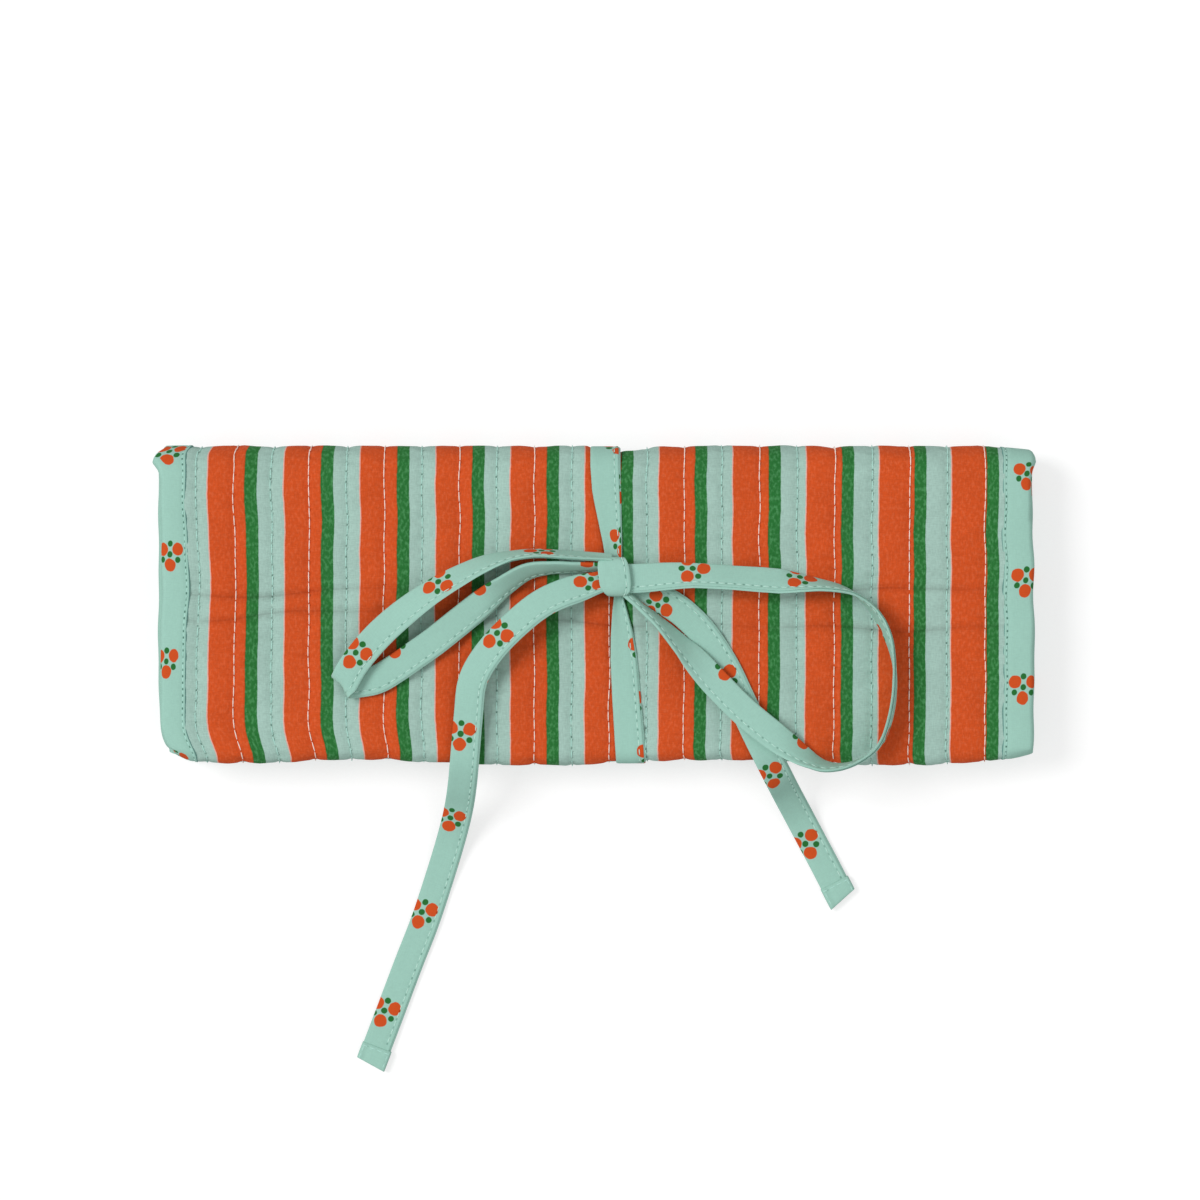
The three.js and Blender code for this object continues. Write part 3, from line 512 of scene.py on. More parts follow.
class Value:
    """A number that a node gives. Sums, differences, products and shares of it are Math nodes."""

    def __init__(self, look, socket):
        self.look, self.socket = look, socket

    def maths(self, operation, *others):
        """A Math node with this number first."""
        return self.look.node("Math", {"operation": operation}, dict(enumerate((self, *others))))

    def __add__(self, other):
        return self.maths("ADD", other)

    def __sub__(self, other):
        return self.maths("SUBTRACT", other)

    def reflected(self, operation, other):
        """A Math node with this number second."""
        return self.look.node("Math", {"operation": operation}, {0: other, 1: self})

    def __rsub__(self, other):
        return self.reflected("SUBTRACT", other)

    def __mul__(self, other):
        return self.maths("MULTIPLY", other)

    def __truediv__(self, other):
        return self.maths("DIVIDE", other)

    def __rtruediv__(self, other):
        return self.reflected("DIVIDE", other)

    __radd__ = __add__
    __rmul__ = __mul__


class Look:
    """A material being made: its tree, its surface shader, and one method that adds a node."""

    def __init__(self, name, constants):
        self.material = bpy.data.materials.new(name)
        self.material.use_nodes = True
        self.tree = self.material.node_tree
        self.surface = self.tree.nodes["Principled BSDF"]
        for socket, value in constants.items():
            self.surface.inputs[socket].default_value = value

    def node(self, kind, settings=None, inputs=None, output=0):
        """Adds a node, links or sets its inputs, and gives one of its outputs."""
        made = self.tree.nodes.new("ShaderNode" + kind)
        for key, value in (settings or {}).items():
            setattr(made, key, value)
        for key, value in (inputs or {}).items():
            if isinstance(value, Value):
                self.tree.links.new(value.socket, made.inputs[key])
            else:
                made.inputs[key].default_value = value
        return Value(self, made.outputs[output])

    def feed(self, socket, value):
        """Links a value to the surface shader."""
        self.tree.links.new(value.socket, self.surface.inputs[socket])

    def step(self, value, low, high):
        """0 below low, 1 above high, and smooth between them."""
        sockets = {"Value": value, "From Min": low, "From Max": high}
        return self.node("MapRange", {"interpolation_type": "SMOOTHSTEP"}, sockets)

    def mix(self, share, first, second):
        """A blend of two colours, which the node takes on sockets 6 and 7 and gives on output 2."""
        return self.node("Mix", {"data_type": "RGBA"}, {0: share, 6: first, 7: second}, 2)

    def cloth_place(self, layer="UVMap"):
        """The cloth's own coordinates in millimetres: across and along."""
        uv = self.node("UVMap", {"uv_map": layer})
        return [self.node("SeparateXYZ", {}, {0: uv}, i) for i in (0, 1)]

    def noise(self, across, along, detail=2.0):
        """Soft noise, 0 to 1, with lumps about 1 wide."""
        place = self.node("CombineXYZ", {}, {0: across, 1: along})
        sockets = {"Vector": place, "Scale": 1.0, "Detail": detail}
        return self.node("TexNoise", {"noise_dimensions": "2D"}, sockets)

    def weave(self, across, along):
        """Plain weave, about 0 to 1: fine streaks of warp and of weft, and slow unevenness."""
        warp = self.noise(across * 3.2, along * 0.6)
        weft = self.noise(across * 0.6, along * 3.2)
        cloud = self.noise(across * 0.09, along * 0.09)
        return warp * 0.4 + weft * 0.4 + cloud * 0.2

    def dim(self, colour, share, tint):
        """A colour multiplied by a tint, for a share of the way."""
        settings = {"data_type": "RGBA", "blend_type": "MULTIPLY"}
        return self.node("Mix", settings, {0: share, 6: colour, 7: tint}, 2)

    def paint_needle_hole_shade(self, colour, away, stitch, pitch, strength, line=0.0):
        """Painted shade in the needle holes between a sewn line's stitches, deeper at some than at others."""
        near = 1 - self.step(away.maths("ABSOLUTE"), 0.1, 0.36)
        between = 1 - self.step((stitch.maths("FRACT") - 0.5).maths("ABSOLUTE") * pitch, 0.15, 0.4)
        place = self.node("CombineXYZ", {}, {0: stitch.maths("FLOOR"), 1: line})
        chance = self.node("TexWhiteNoise", {"noise_dimensions": "2D"}, {"Vector": place})
        return self.dim(colour, near * between * strength * (chance * 0.7 + 0.3), NEEDLE_HOLE_SHADE)

    def cotton(self, colour, weave, contrast, bump):
        """Puts a woven colour on the surface: lighter and darker by the weave, with its relief."""
        shade = self.step(weave, 0.2, 0.8)
        dark = self.dim(colour, 1.0, (*[1 - contrast] * 3, 1))
        light = self.dim(colour, 1.0, (*[1 + contrast] * 3, 1))
        self.feed("Base Color", self.mix(shade, dark, light))
        self.feed("Roughness", shade * 0.12 + 0.8)
        relief = self.node("Bump", {}, {"Strength": bump, "Distance": 0.15 * MM, "Height": weave})
        self.feed("Normal", relief)
        return self.material


COTTON = {"Sheen Weight": 0.02, "Sheen Roughness": 0.5, "Specular IOR Level": 0.12}
ORANGE = (0.606, 0.079, 0.0145, 1)
GREEN = (0.02, 0.15, 0.031, 1)
WORN_ORANGE = (0.69, 0.125, 0.042, 1)  # where the print is thin
WORN_GREEN = (0.075, 0.28, 0.1, 1)
MINT = (0.362, 0.535, 0.47, 1)
TIE_MINT = (0.336, 0.577, 0.488, 1)
PALE = (0.80, 0.58, 0.52, 1)
# Painted shade in a needle hole
NEEDLE_HOLE_SHADE = (0.28, 0.38, 0.35, 1)  # how a needle hole dims the cloth
# Painted shade along a crease
PAINTED_CREASE_SHADE = (0.86, 0.84, 0.84, 1)  # how a crease dims it
OVERPRINT = (0.55, 0.6, 0.5, 1)  # how it is dimmed where two inks meet
# Painted shade along a binding's hem
HEM_SHADE = (0.4, 0.5, 0.52, 1)  # how it is dimmed along a binding's hem
STRIPE_PERIOD = 20.31  # the orange and green widths are shares of it
STRIPE_START = -105.15
STRIPE_PITCH = 20.77  # at the left end; each next pitch is smaller by twice the tightening
STRIPE_TIGHTEN = 0.0578
DOT = 1.8  # radius of the print's orange dots
LEAF = 0.85  # radius of its green dots
DOT_REACH = 2.9
ORANGE_WIDTH = 10.1
GREEN_WIDTH = 3.35


def striped_cotton():
    """Printed stripes along the cloth: orange, green and mint, with soft uneven edges.

    A stripe's number follows from its place, as each pitch is a little smaller than the one before. There is
    a pale line where mint meets orange, and orange is printed over green along their border. Painted shade
    darkens the needle holes between the stitches of each quilting line, and the cloth along creases.
    """
    look = Look("striped_cotton", COTTON)
    across, along = look.cloth_place()
    uneven = look.noise(across * 0.4, along * 0.5, 3.0) - 0.5
    start = (across + (uneven * 0.25 - STRIPE_START)) * (4 * STRIPE_TIGHTEN)
    number = (STRIPE_PITCH - (STRIPE_PITCH**2 - start).maths("SQRT")) / (2 * STRIPE_TIGHTEN)
    within = number.maths("FRACT") * STRIPE_PERIOD
    soft = 0.12
    in_orange = 1 - look.step(within, ORANGE_WIDTH - soft, ORANGE_WIDTH + soft)
    in_mint = look.step(within, ORANGE_WIDTH + GREEN_WIDTH - soft, ORANGE_WIDTH + GREEN_WIDTH + soft)
    worn = look.step(look.noise(across * 1.3, along * 0.8, 4.0), 0.42, 0.75)
    orange = look.mix(worn * 0.6, ORANGE, WORN_ORANGE)
    green = look.mix(worn * 0.8, GREEN, WORN_GREEN)
    ground = look.mix(in_orange, look.mix(in_mint, green, MINT), orange)
    overprint = 1 - look.step((within - ORANGE_WIDTH).maths("ABSOLUTE"), 0.1, 0.3)
    ground = look.dim(ground, overprint * 0.5, OVERPRINT)
    near_start = 1 - look.step(within, 0.2, 0.42)
    colour = look.mix(near_start * 0.65, ground, PALE)
    seams = (across - FIRST_SEAM) / SEAM_PITCH
    off_line = (seams - seams.maths("ROUND")) * SEAM_PITCH
    stitch = along / STITCH + seams.maths("ROUND") * STAGGER
    # Painted shade in the needle holes of the quilting lines
    colour = look.paint_needle_hole_shade(colour, off_line, stitch, STITCH, in_mint * 0.6 + 0.35, seams.maths("ROUND"))
    # Painted shade along each crease: a soft band and a thin, sharp line
    for line in crease_lines(across, lambda angle: angle.maths("SINE")):
        beside = (along - line).maths("ABSOLUTE")
        near = 1 - look.step(beside, 0.2, 2.0)
        sharp = 1 - look.step(beside, 0.05, 0.45)
        strength = (across / 13 + 2).maths("SINE") * 0.3 + 0.6
        colour = look.dim(look.dim(colour, near * strength, PAINTED_CREASE_SHADE), sharp * strength, PAINTED_CREASE_SHADE)
    return look.cotton(colour, look.weave(across, along), 0.15, 0.25)


def dotted_cotton(name, colour, period=29.0, pitch=TOPSTITCH, needle=0.3, hem=0.0):
    """Mint cotton with a sparse generic print in staggered rows: three orange dots and four small green ones.

    A dot shows where the distance to the nearest middle of its kind is under its radius. Painted shade
    darkens the needle holes along the topstitching, and a hem at some distance from it.
    """
    look = Look(name, COTTON)
    across, along = look.cloth_place()
    uneven = look.noise(across * 0.35, along * 0.35) - 0.5
    orange_middles, green_middles = [], [(0.0, 0.0)]
    for turn in np.radians([90, 210, 330]):
        place = (DOT_REACH * math.cos(turn), DOT_REACH * math.sin(turn))
        orange_middles.append(place)
        green_middles.append((-place[0], -place[1]))

    def nearest(middles):
        """The distance to the nearest dot's middle, over two staggered rows."""
        least = None
        for shift in (0.0, 0.5):
            x = across / period + shift
            y = along / period + shift
            x = (x - x.maths("ROUND")) * period
            y = (y - y.maths("ROUND")) * period
            for middle_x, middle_y in middles:
                dx, dy = x - middle_x, y - middle_y
                far = (dx * dx + dy * dy).maths("SQRT")
                least = least.maths("MINIMUM", far) if least else far
        return least

    ink = 1 - look.step(nearest(orange_middles) + uneven * 0.7, DOT - 0.1, DOT + 0.1)
    leaf = 1 - look.step(nearest(green_middles) + uneven * 0.4, LEAF - 0.1, LEAF + 0.1)
    printed = look.mix(leaf, look.mix(ink, colour, ORANGE), GREEN)
    away, stitch = look.cloth_place("Stitches")
    # Painted shade in the needle holes along the topstitching
    printed = look.paint_needle_hole_shade(printed, away, stitch, pitch, needle)
    # Painted shade along the hem's turned-down edge
    if hem:
        printed = look.dim(printed, 1 - look.step(away + hem, 0.24, 0.46), HEM_SHADE)
    return look.cotton(printed, look.weave(across, along), 0.06, 0.15)


def thread_finish(name, colour):
    """Spun sewing thread: fine bands across it."""
    look = Look(name, {"Roughness": 0.7, "Sheen Weight": 0.2})
    place = look.node("TexCoord", {}, {}, "Object")
    bands = look.node("TexNoise", {}, {"Vector": place, "Scale": 2500.0, "Detail": 1.0})
    look.feed("Base Color", look.mix(bands, tuple(0.88 * c for c in colour[:3]) + (1,), colour))
    return look.material


def zip_cloth():
    """Woven zip tape: fine ribs along it."""
    look = Look("zip_tape_weave", COTTON)
    across, along = look.cloth_place()
    ribs = (along * 6.0).maths("SINE") * 0.5 + 0.5
    return look.cotton(look.mix(ribs * 0.3, (0.3, 0.5, 0.42, 1), (0.22, 0.4, 0.33, 1)), ribs, 0.12, 0.4)


def nylon():
    """Moulded nylon teeth, slightly glossy and uneven."""
    look = Look("zip_nylon", {"Coat Weight": 0.1})
    place = look.node("TexCoord", {}, {}, "Object")
    specks = look.node("TexNoise", {}, {"Vector": place, "Scale": 900.0})
    look.feed("Base Color", look.mix(specks, (0.2, 0.38, 0.31, 1), (0.27, 0.48, 0.4, 1)))
    look.feed("Roughness", specks * 0.2 + 0.3)
    return look.material


def brass():
    """Polished brass with fine scratches and slight tarnish."""
    look = Look("polished_brass", {"Metallic": 1.0})
    place = look.node("TexCoord", {}, {}, "Object")
    tarnish = look.node("TexNoise", {}, {"Vector": place, "Scale": 400.0, "Detail": 4.0})
    look.feed("Base Color", look.mix(tarnish, (0.75, 0.56, 0.26, 1), (0.55, 0.38, 0.15, 1)))
    look.feed("Roughness", tarnish * 0.25 + 0.16)
    return look.material


STRIPES = striped_cotton()
PRINT = dotted_cotton("mint_print", TIE_MINT, needle=0.7)
BINDING_PRINT = dotted_cotton("binding_print", TIE_MINT, pitch=BINDING_STITCH, needle=1.5, hem=STITCH_INSET)
LINING_CLOTH = dotted_cotton("lining_print", (0.4, 0.6, 0.51, 1), 34.0)
MINT_THREAD = thread_finish("mint_thread", (0.46, 0.77, 0.68, 1))
LIGHT_THREAD = thread_finish("light_thread", (0.53, 0.79, 0.695, 1))
PALE_THREAD = thread_finish("pale_thread", (1.0, 0.8, 0.7, 1))
TAPE = zip_cloth()
NYLON = nylon()
BRASS = brass()


# Camera, floor and light
SENSOR = 36.0
CAMERA = (1.5, 1.1, 1500.0)
SEEN_LEVEL = 10.0  # height at which the frame's width is known
SEEN_WIDTH = 327.3
FLOOR_HALF = 3000.0
FLOOR_LEVEL = -0.4
FLOOR_GLOW = 0.62  # what the floor adds to its lit grey, so that it looks white
WORLD_LIGHT = 0.5
WORLD_SHOWN = 1.0
# Rays that see the white background: straight from the camera, off metal and through glass
SHOWN_RAYS = ("Is Camera Ray", "Is Glossy Ray", "Is Transmission Ray")
# Each lamp's place and width in metres, and its power
LAMPS = {
    "key": ((-3.1, 1.1, 4.1), 2.1, 150.0),
    "fill": ((1.5, -1.2, 2.6), 2.4, 14.0),
}


def set_camera():
    """A camera straight above the roll. Its lens gives the known width at the known level."""
    view = bpy.data.cameras.new("camera")
    view.sensor_width = SENSOR
    view.lens = SENSOR * (CAMERA[2] - SEEN_LEVEL) / SEEN_WIDTH
    view.clip_end = 20.0
    camera = bpy.data.objects.new("camera", view)
    camera.location = [place * MM for place in CAMERA]
    bpy.context.collection.objects.link(camera)
    bpy.context.scene.camera = camera


def lay_floor():
    """A plain floor that looks white and keeps the roll's shadow."""
    mesh = bpy.data.meshes.new("floor")
    half, level = FLOOR_HALF * MM, FLOOR_LEVEL * MM
    corners = [(-half, -half, level), (half, -half, level), (half, half, level), (-half, half, level)]
    mesh.from_pydata(corners, [], [(0, 1, 2, 3)])
    floor = bpy.data.objects.new("floor", mesh)
    bpy.context.collection.objects.link(floor)
    look = Look("white_floor", {"Roughness": 0.9, "Base Color": (0.44, 0.44, 0.44, 1)})
    seen, shiny, passed = (look.node("LightPath", {}, {}, ray) for ray in SHOWN_RAYS)
    seen = seen.maths("MAXIMUM", shiny).maths("MAXIMUM", passed)
    glow = look.node("Emission", {}, {"Color": (1, 1, 1, 1), "Strength": seen * FLOOR_GLOW})
    total = look.node("AddShader")
    node = total.socket.node
    look.tree.links.new(look.surface.outputs[0], node.inputs[0])
    look.tree.links.new(glow.socket, node.inputs[1])
    look.tree.links.new(total.socket, look.tree.nodes["Material Output"].inputs["Surface"])
    mesh.materials.append(look.material)


def light_studio():
    """A pale world, and soft light from the upper left."""
    world = bpy.data.worlds.new("studio")
    bpy.context.scene.world = world
    world.use_nodes = True
    tree = world.node_tree
    paths = tree.nodes.new("ShaderNodeLightPath")
    shown = paths
    for ray in SHOWN_RAYS[1:]:
        either = tree.nodes.new("ShaderNodeMath")
        either.operation = "MAXIMUM"
        tree.links.new(shown.outputs[0], either.inputs[0])
        tree.links.new(paths.outputs[ray], either.inputs[1])
        shown = either
    strength = tree.nodes.new("ShaderNodeMapRange")
    strength.inputs["To Min"].default_value = WORLD_LIGHT
    strength.inputs["To Max"].default_value = WORLD_SHOWN
    tree.links.new(shown.outputs[0], strength.inputs["Value"])
    tree.nodes["Background"].inputs["Color"].default_value = (1, 1, 1, 1)
    tree.links.new(strength.outputs[0], tree.nodes["Background"].inputs["Strength"])
    bpy.context.scene.view_settings.view_transform = "Standard"
    for name, (place, width, power) in LAMPS.items():
        light = bpy.data.lights.new(name, "AREA")
        light.size = width
        light.energy = power
        lamp = bpy.data.objects.new(name, light)
        lamp.location = place
        aim = -np.array(place)
        tilt = math.acos(-aim[2] / np.linalg.norm(aim))
        lamp.rotation_euler = (tilt, 0, math.atan2(aim[1], aim[0]) - QUARTER)
        bpy.context.collection.objects.link(lamp)


set_camera()
lay_floor()
light_studio()


# The bow's ribbons: listed points, each with the angle by which the ribbon's first edge hangs down.
# That edge is the right one on the way along the points. At 0 the ribbon lies level, at 90 it stands on
# that edge, and at 180 it is turned over. Ends run on into the knot.
LEFT_LOOP = [
    (4.6, 12.0, HEIGHT + 4.2, 70),
    (0.5, 12.4, HEIGHT + 4.5, 72),
    (-7.9, 13.2, HEIGHT + 5.2, 76),
    (-16.2, 13.6, HEIGHT + 5.6, 77),
    (-22.5, 12.9, HEIGHT + 5.8, 72),
    (-29.9, 10.7, HEIGHT + 6.0, 54),
    (-36.5, 7.5, HEIGHT + 6.0, 42),
    (-44.2, 3.0, HEIGHT + 5.8, 32),
    (-53.6, -4.1, HEIGHT + 5.4, 12),
    (-60.0, -10.2, HEIGHT + 4.9, 2),
    (-65.0, -16.4, HEIGHT + 4.3, 0),
    (-67.2, -20.2, HEIGHT + 3.9, 0),
    (-68.0, -21.9, HEIGHT + 2.9, 0),
    (-67.0, -21.7, HEIGHT + 1.8, 90),
    (-63.8, -21.4, HEIGHT + 1.4, 180),
    (-58.9, -20.4, HEIGHT + 1.6, 181),
    (-53.7, -17.4, HEIGHT + 2.0, 182),
    (-48.5, -13.8, HEIGHT + 2.3, 182),
    (-43.3, -10.1, HEIGHT + 2.6, 182),
    (-37.1, -5.2, HEIGHT + 2.9, 184),
    (-30.8, -0.2, HEIGHT + 3.3, 194),
    (-24.5, 4.7, HEIGHT + 3.9, 224),
    (-18.2, 8.6, HEIGHT + 4.3, 236),
    (-12.0, 9.7, HEIGHT + 4.4, 247),
    (-5.8, 9.8, HEIGHT + 4.2, 250),
    (0.5, 9.6, HEIGHT + 3.8, 250),
    (4.6, 9.3, HEIGHT + 3.6, 250),
]
LEFT_LOOP_FOLD = (10, 14)  # the points between which the ribbon is folded over
RIGHT_LOOP = [
    (6.6, 7.0, HEIGHT + 4.6, 0),
    (10.7, 6.9, HEIGHT + 5.0, -4),
    (19.8, 7.5, HEIGHT + 5.3, -22),
    (26.8, 7.7, HEIGHT + 5.4, -34),
    (37.7, 7.1, HEIGHT + 5.4, -36),
    (45.1, 6.6, HEIGHT + 5.4, -32),
    (50.0, 6.2, HEIGHT + 5.3, -34),
    (56.0, 5.7, HEIGHT + 5.2, -56),
    (60.9, 5.2, HEIGHT + 5.1, -69),
    (66.8, 4.1, HEIGHT + 5.0, -80),
    (70.5, 2.6, HEIGHT + 5.0, -89),
    (74.7, -0.8, HEIGHT + 5.0, -99),
    (77.6, -5.0, HEIGHT + 5.0, -105),
    (79.6, -9.5, HEIGHT + 5.0, -100),
    (80.9, -15.4, HEIGHT + 5.0, -90),
    (81.2, -20.6, HEIGHT + 5.0, -84),
    (80.7, -26.9, HEIGHT + 5.0, -82),
    (79.5, -32.5, HEIGHT + 5.0, -82),
    (77.8, -36.9, HEIGHT + 5.0, -83),
    (75.4, -40.0, HEIGHT + 5.0, -86),
    (71.5, -42.5, HEIGHT + 5.0, -90),
    (68.1, -43.7, HEIGHT + 5.0, -95),
    (65.0, -44.1, HEIGHT + 4.9, -101),
    (61.5, -43.7, HEIGHT + 4.8, -112),
    (58.9, -42.6, HEIGHT + 4.6, -120),
    (55.0, -40.3, HEIGHT + 4.3, -140),
    (48.2, -35.4, HEIGHT + 3.8, -171),
    (40.5, -29.1, HEIGHT + 3.6, -180),
    (32.6, -21.2, HEIGHT + 3.6, -178),
    (26.8, -14.8, HEIGHT + 4.2, -152),
    (23.7, -11.5, HEIGHT + 4.6, -132),
    (17.5, -4.8, HEIGHT + 4.4, -116),
    (12.1, 0.2, HEIGHT + 4.0, -114),
    (7.6, 4.2, HEIGHT + 3.6, -114),
]
LEFT_TAIL = [
    (4.6, 6.8, HEIGHT + 4.6, 10),
    (0.5, 5.6, HEIGHT + 5.4, 14),
    (-8.9, 2.7, HEIGHT + 7.2, 14),
    (-15.2, -0.5, HEIGHT + 7.6, 12),
    (-23.9, -7.9, HEIGHT + 7.0, 10),
    (-28.6, -13.2, HEIGHT + 6.0, 8),
    (-31.7, -18.0, HEIGHT + 5.2, 7),
    (-33.2, -22.0, HEIGHT + 4.6, 6),
    (-34.0, -29.4, HEIGHT + 3.8, 4),
    (-34.6, -36.0, HEIGHT + 3.2, 3),
    (-35.2, -43.0, HEIGHT + 1.8, 2),
    (-36.0, -50.0, HEIGHT - 3.4, 0),
    (-37.3, -57.0, 8.2, 0),
    (-39.6, -65.6, 3.0, 0),
    (-43.0, -76.6, 1.0, 0),
    (-46.6, -87.4, 0.85, 0),
    (-50.9, -98.4, 0.85, 0),
    (-55.2, -109.8, 0.9, 0),
    (-59.6, -121.4, 1.2, 0),
]
RIGHT_TAIL = [
    (7.4, 4.6, HEIGHT + 1.0, 0),
    (11.7, 2.8, HEIGHT + 0.9, 0),
    (17.2, 1.6, HEIGHT + 0.9, 0),
    (22.2, -1.0, HEIGHT + 0.9, 0),
    (26.8, -4.9, HEIGHT + 0.9, 0),
    (30.6, -9.4, HEIGHT + 0.9, 0),
    (35.4, -17.0, HEIGHT + 0.9, 0),
    (39.9, -26.4, HEIGHT + 1.0, 0),
    (43.9, -35.0, HEIGHT + 1.3, 0),
    (47.4, -42.0, HEIGHT + 0.9, 0),
    (50.2, -47.4, HEIGHT - 2.6, 0),
    (52.8, -52.2, 8.0, 0),
    (56.2, -58.4, 2.8, 0),
    (59.4, -64.4, 1.2, 0),
    (62.6, -70.4, 1.0, 0),
    (65.7, -76.4, 1.2, 0),
]
CURVE_STEPS = 10  # stations between two points
PLAIN_CLOTH = 14.5  # a place across the print that has no dots for some way along


def through(route):
    """A smooth curve through a route's points, and its bank in degrees.

    Each stretch is a cubic whose end slopes come from the neighbouring points, spaced by the square root of
    their distances. The bank changes evenly from one point to the next.
    """
    points = np.array(route, float)
    p = points[:, :3]
    p = np.concatenate([[2 * p[0] - p[1]], p, [2 * p[-1] - p[-2]]])
    gap = np.sqrt(np.linalg.norm(np.diff(p, axis=0), axis=1))[:, None]
    d0, d1, d2 = gap[:-2], gap[1:-1], gap[2:]
    p0, p1, p2, p3 = p[:-3], p[1:-2], p[2:-1], p[3:]
    t1 = ((p1 - p0) / d0 - (p2 - p0) / (d0 + d1) + (p2 - p1) / d1) * d1
    t2 = ((p2 - p1) / d1 - (p3 - p1) / (d1 + d2) + (p3 - p2) / d2) * d1
    t = (np.arange(CURVE_STEPS) / CURVE_STEPS)[None, :, None]
    cubic = p1[:, None] + t1[:, None] * t + (3 * (p2 - p1) - 2 * t1 - t2)[:, None] * t**2
    cubic = cubic + (2 * (p1 - p2) + t1 + t2)[:, None] * t**3
    middles = np.concatenate([cubic.reshape(-1, 3), points[-1:, :3]])
    bank = np.interp(np.arange(len(middles)) / CURVE_STEPS, np.arange(len(points)), points[:, 3])
    return middles, bank


def ribbon_frames(middles, bank, fold=None):
    """Each station's direction, side and face: level across the path, then turned about it by the bank.

    Across a fold the side goes straight from its place before the fold to its place after it.
    """
    along = unit(np.gradient(middles, axis=0))
    level = unit(np.cross(along, [0.0, 0.0, 1.0]))
    angle = np.radians(bank)[:, None]
    side = level * np.cos(angle) + np.cross(along, level) * np.sin(angle)
    if fold:
        first, last = (CURVE_STEPS * point for point in fold)
        share = np.linspace(0, 1, last - first + 1)[:, None]
        side[first : last + 1] = side[first] * (1 - share) + side[last] * share
        side = unit(side - along * np.einsum("ij,ij->i", side, along)[:, None])
    return along, side, np.cross(side, along)


def ribbon_outline(width, ply, behind=0):
    """A folded tape's section, as places across it and through it.

    Two faces dip along the topstitching. There is a rounded fold at one edge, and at the sewn edge two
    rounded folds with a slit between them. behind is 1 where the upper one lies inside the other, and -1
    where the lower one does.
    """
    half = width / 2
    flat = half - ply / 2
    line = half - RIBBON_INSET
    upper, lower = SET_BACK * max(behind, 0), SET_BACK * max(-behind, 0)
    over = np.array([-flat, -0.6 * flat, -0.2 * flat, 0.2 * flat, line - 0.6, line, line + 0.6])
    dip = np.where(np.abs(over - line) < 0.1, 0.16, 0.0)
    sewn_fold = np.array([0.0, 0.42, 0.85, 0.3]) * ply / 2
    sewn_level = np.array([1.0, 0.9, 0.53, 0.04]) * ply / 2
    split = SPLIT * behind
    upper_level = split * ply / 2 + (1 - split) * sewn_level
    lower_level = split * ply / 2 - (1 + split) * sewn_level
    slit = flat - max(upper, lower) + 0.1 * ply
    slit_level = split * ply / 2 + np.array([0.01, -0.01]) * ply
    fold = np.radians([60.0, 20.0, -20.0, -60.0])
    across = np.concatenate(
        [
            over,
            flat - upper + sewn_fold,
            [slit, slit],
            (flat - lower + sewn_fold)[::-1],
            over[::-1],
            -flat - ply / 2 * np.cos(fold),
        ]
    )
    through_it = np.concatenate(
        [
            ply / 2 - dip,
            upper_level,
            slit_level,
            lower_level[::-1],
            -ply / 2 + dip[::-1],
            -ply / 2 * np.sin(fold),
        ]
    )
    return across, through_it


def ribbon(name, middles, side, face, widths, hand, shift, behind=1):
    """A tape along given stations: its outline carried along the path.

    Where it is gathered it cups, and its edges waver slightly. hand is the side of its topstitching, behind
    says which of its sewn folds lies inside, and shift moves the print, which runs round the folded edge
    from one face to the other.
    """
    across, through_it = ribbon_outline(RIBBON, RIBBON_PLY, behind)
    run = lengths_along(middles)
    share = (np.broadcast_to(widths, run.shape) / RIBBON)[:, None]
    placed = hand * across[None] * share
    cup = np.clip(1 - share, 0, 1) * CUP * (across[None] / RIBBON * 2) ** 2
    waver = 0.12 * ripple(across[None], run[:, None], 21, 40, 9, 6) * (across[None] / RIBBON)
    lift = through_it[None] + cup + waver
    rings = middles[:, None] + placed[..., None] * side[:, None] + lift[..., None] * face[:, None]
    below_slit = through_it < SPLIT * behind * RIBBON_PLY / 2
    round_fold = np.where(below_slit, -RIBBON - across, across)
    uv = together(round_fold[None] + shift[0], run[:, None] + shift[1])
    away = across[None] - (RIBBON / 2 - RIBBON_INSET)
    sewn = together(away, (run[:, None] - FIRST_STITCH) / TOPSTITCH)
    return turned_out(loft(name, rings, uv, PRINT, 70.0, sewn)), run


def ribbon_threads(name, middles, along, side, face, run, widths, hand):
    """The topstitching of a tape: stitches a little inside one edge, on both faces."""
    places = np.arange(FIRST_STITCH, run[-1] - 1, TOPSTITCH)

    def at(values):
        """The values of the stations, at the stitches."""
        return together(*(np.interp(places, run, values[:, i]) for i in range(3)))

    share = np.interp(places, run, np.broadcast_to(widths, run.shape))[:, None] / RIBBON
    reach = hand * (RIBBON / 2 - RIBBON_INSET)
    cup = np.clip(1 - share, 0, 1) * CUP * (reach / RIBBON * 2) ** 2
    up, ahead = unit(at(face)), unit(at(along))
    middle = at(middles) + reach * share * at(side) + cup * up
    lift = RIBBON_PLY / 2 - THREAD_SINK
    middle = np.concatenate([middle + lift * up, middle - lift * up])
    ahead, up = np.tile(ahead, (2, 1)), np.tile(up, (2, 1))
    return threads(name, middle, ahead, up, RIBBON_THREAD, LIGHT_THREAD)


def flatten(piece):
    """Attaches a piece of the bow to the flap, with a mesh of its own."""
    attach(piece, "flap")
    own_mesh(piece)
    return piece


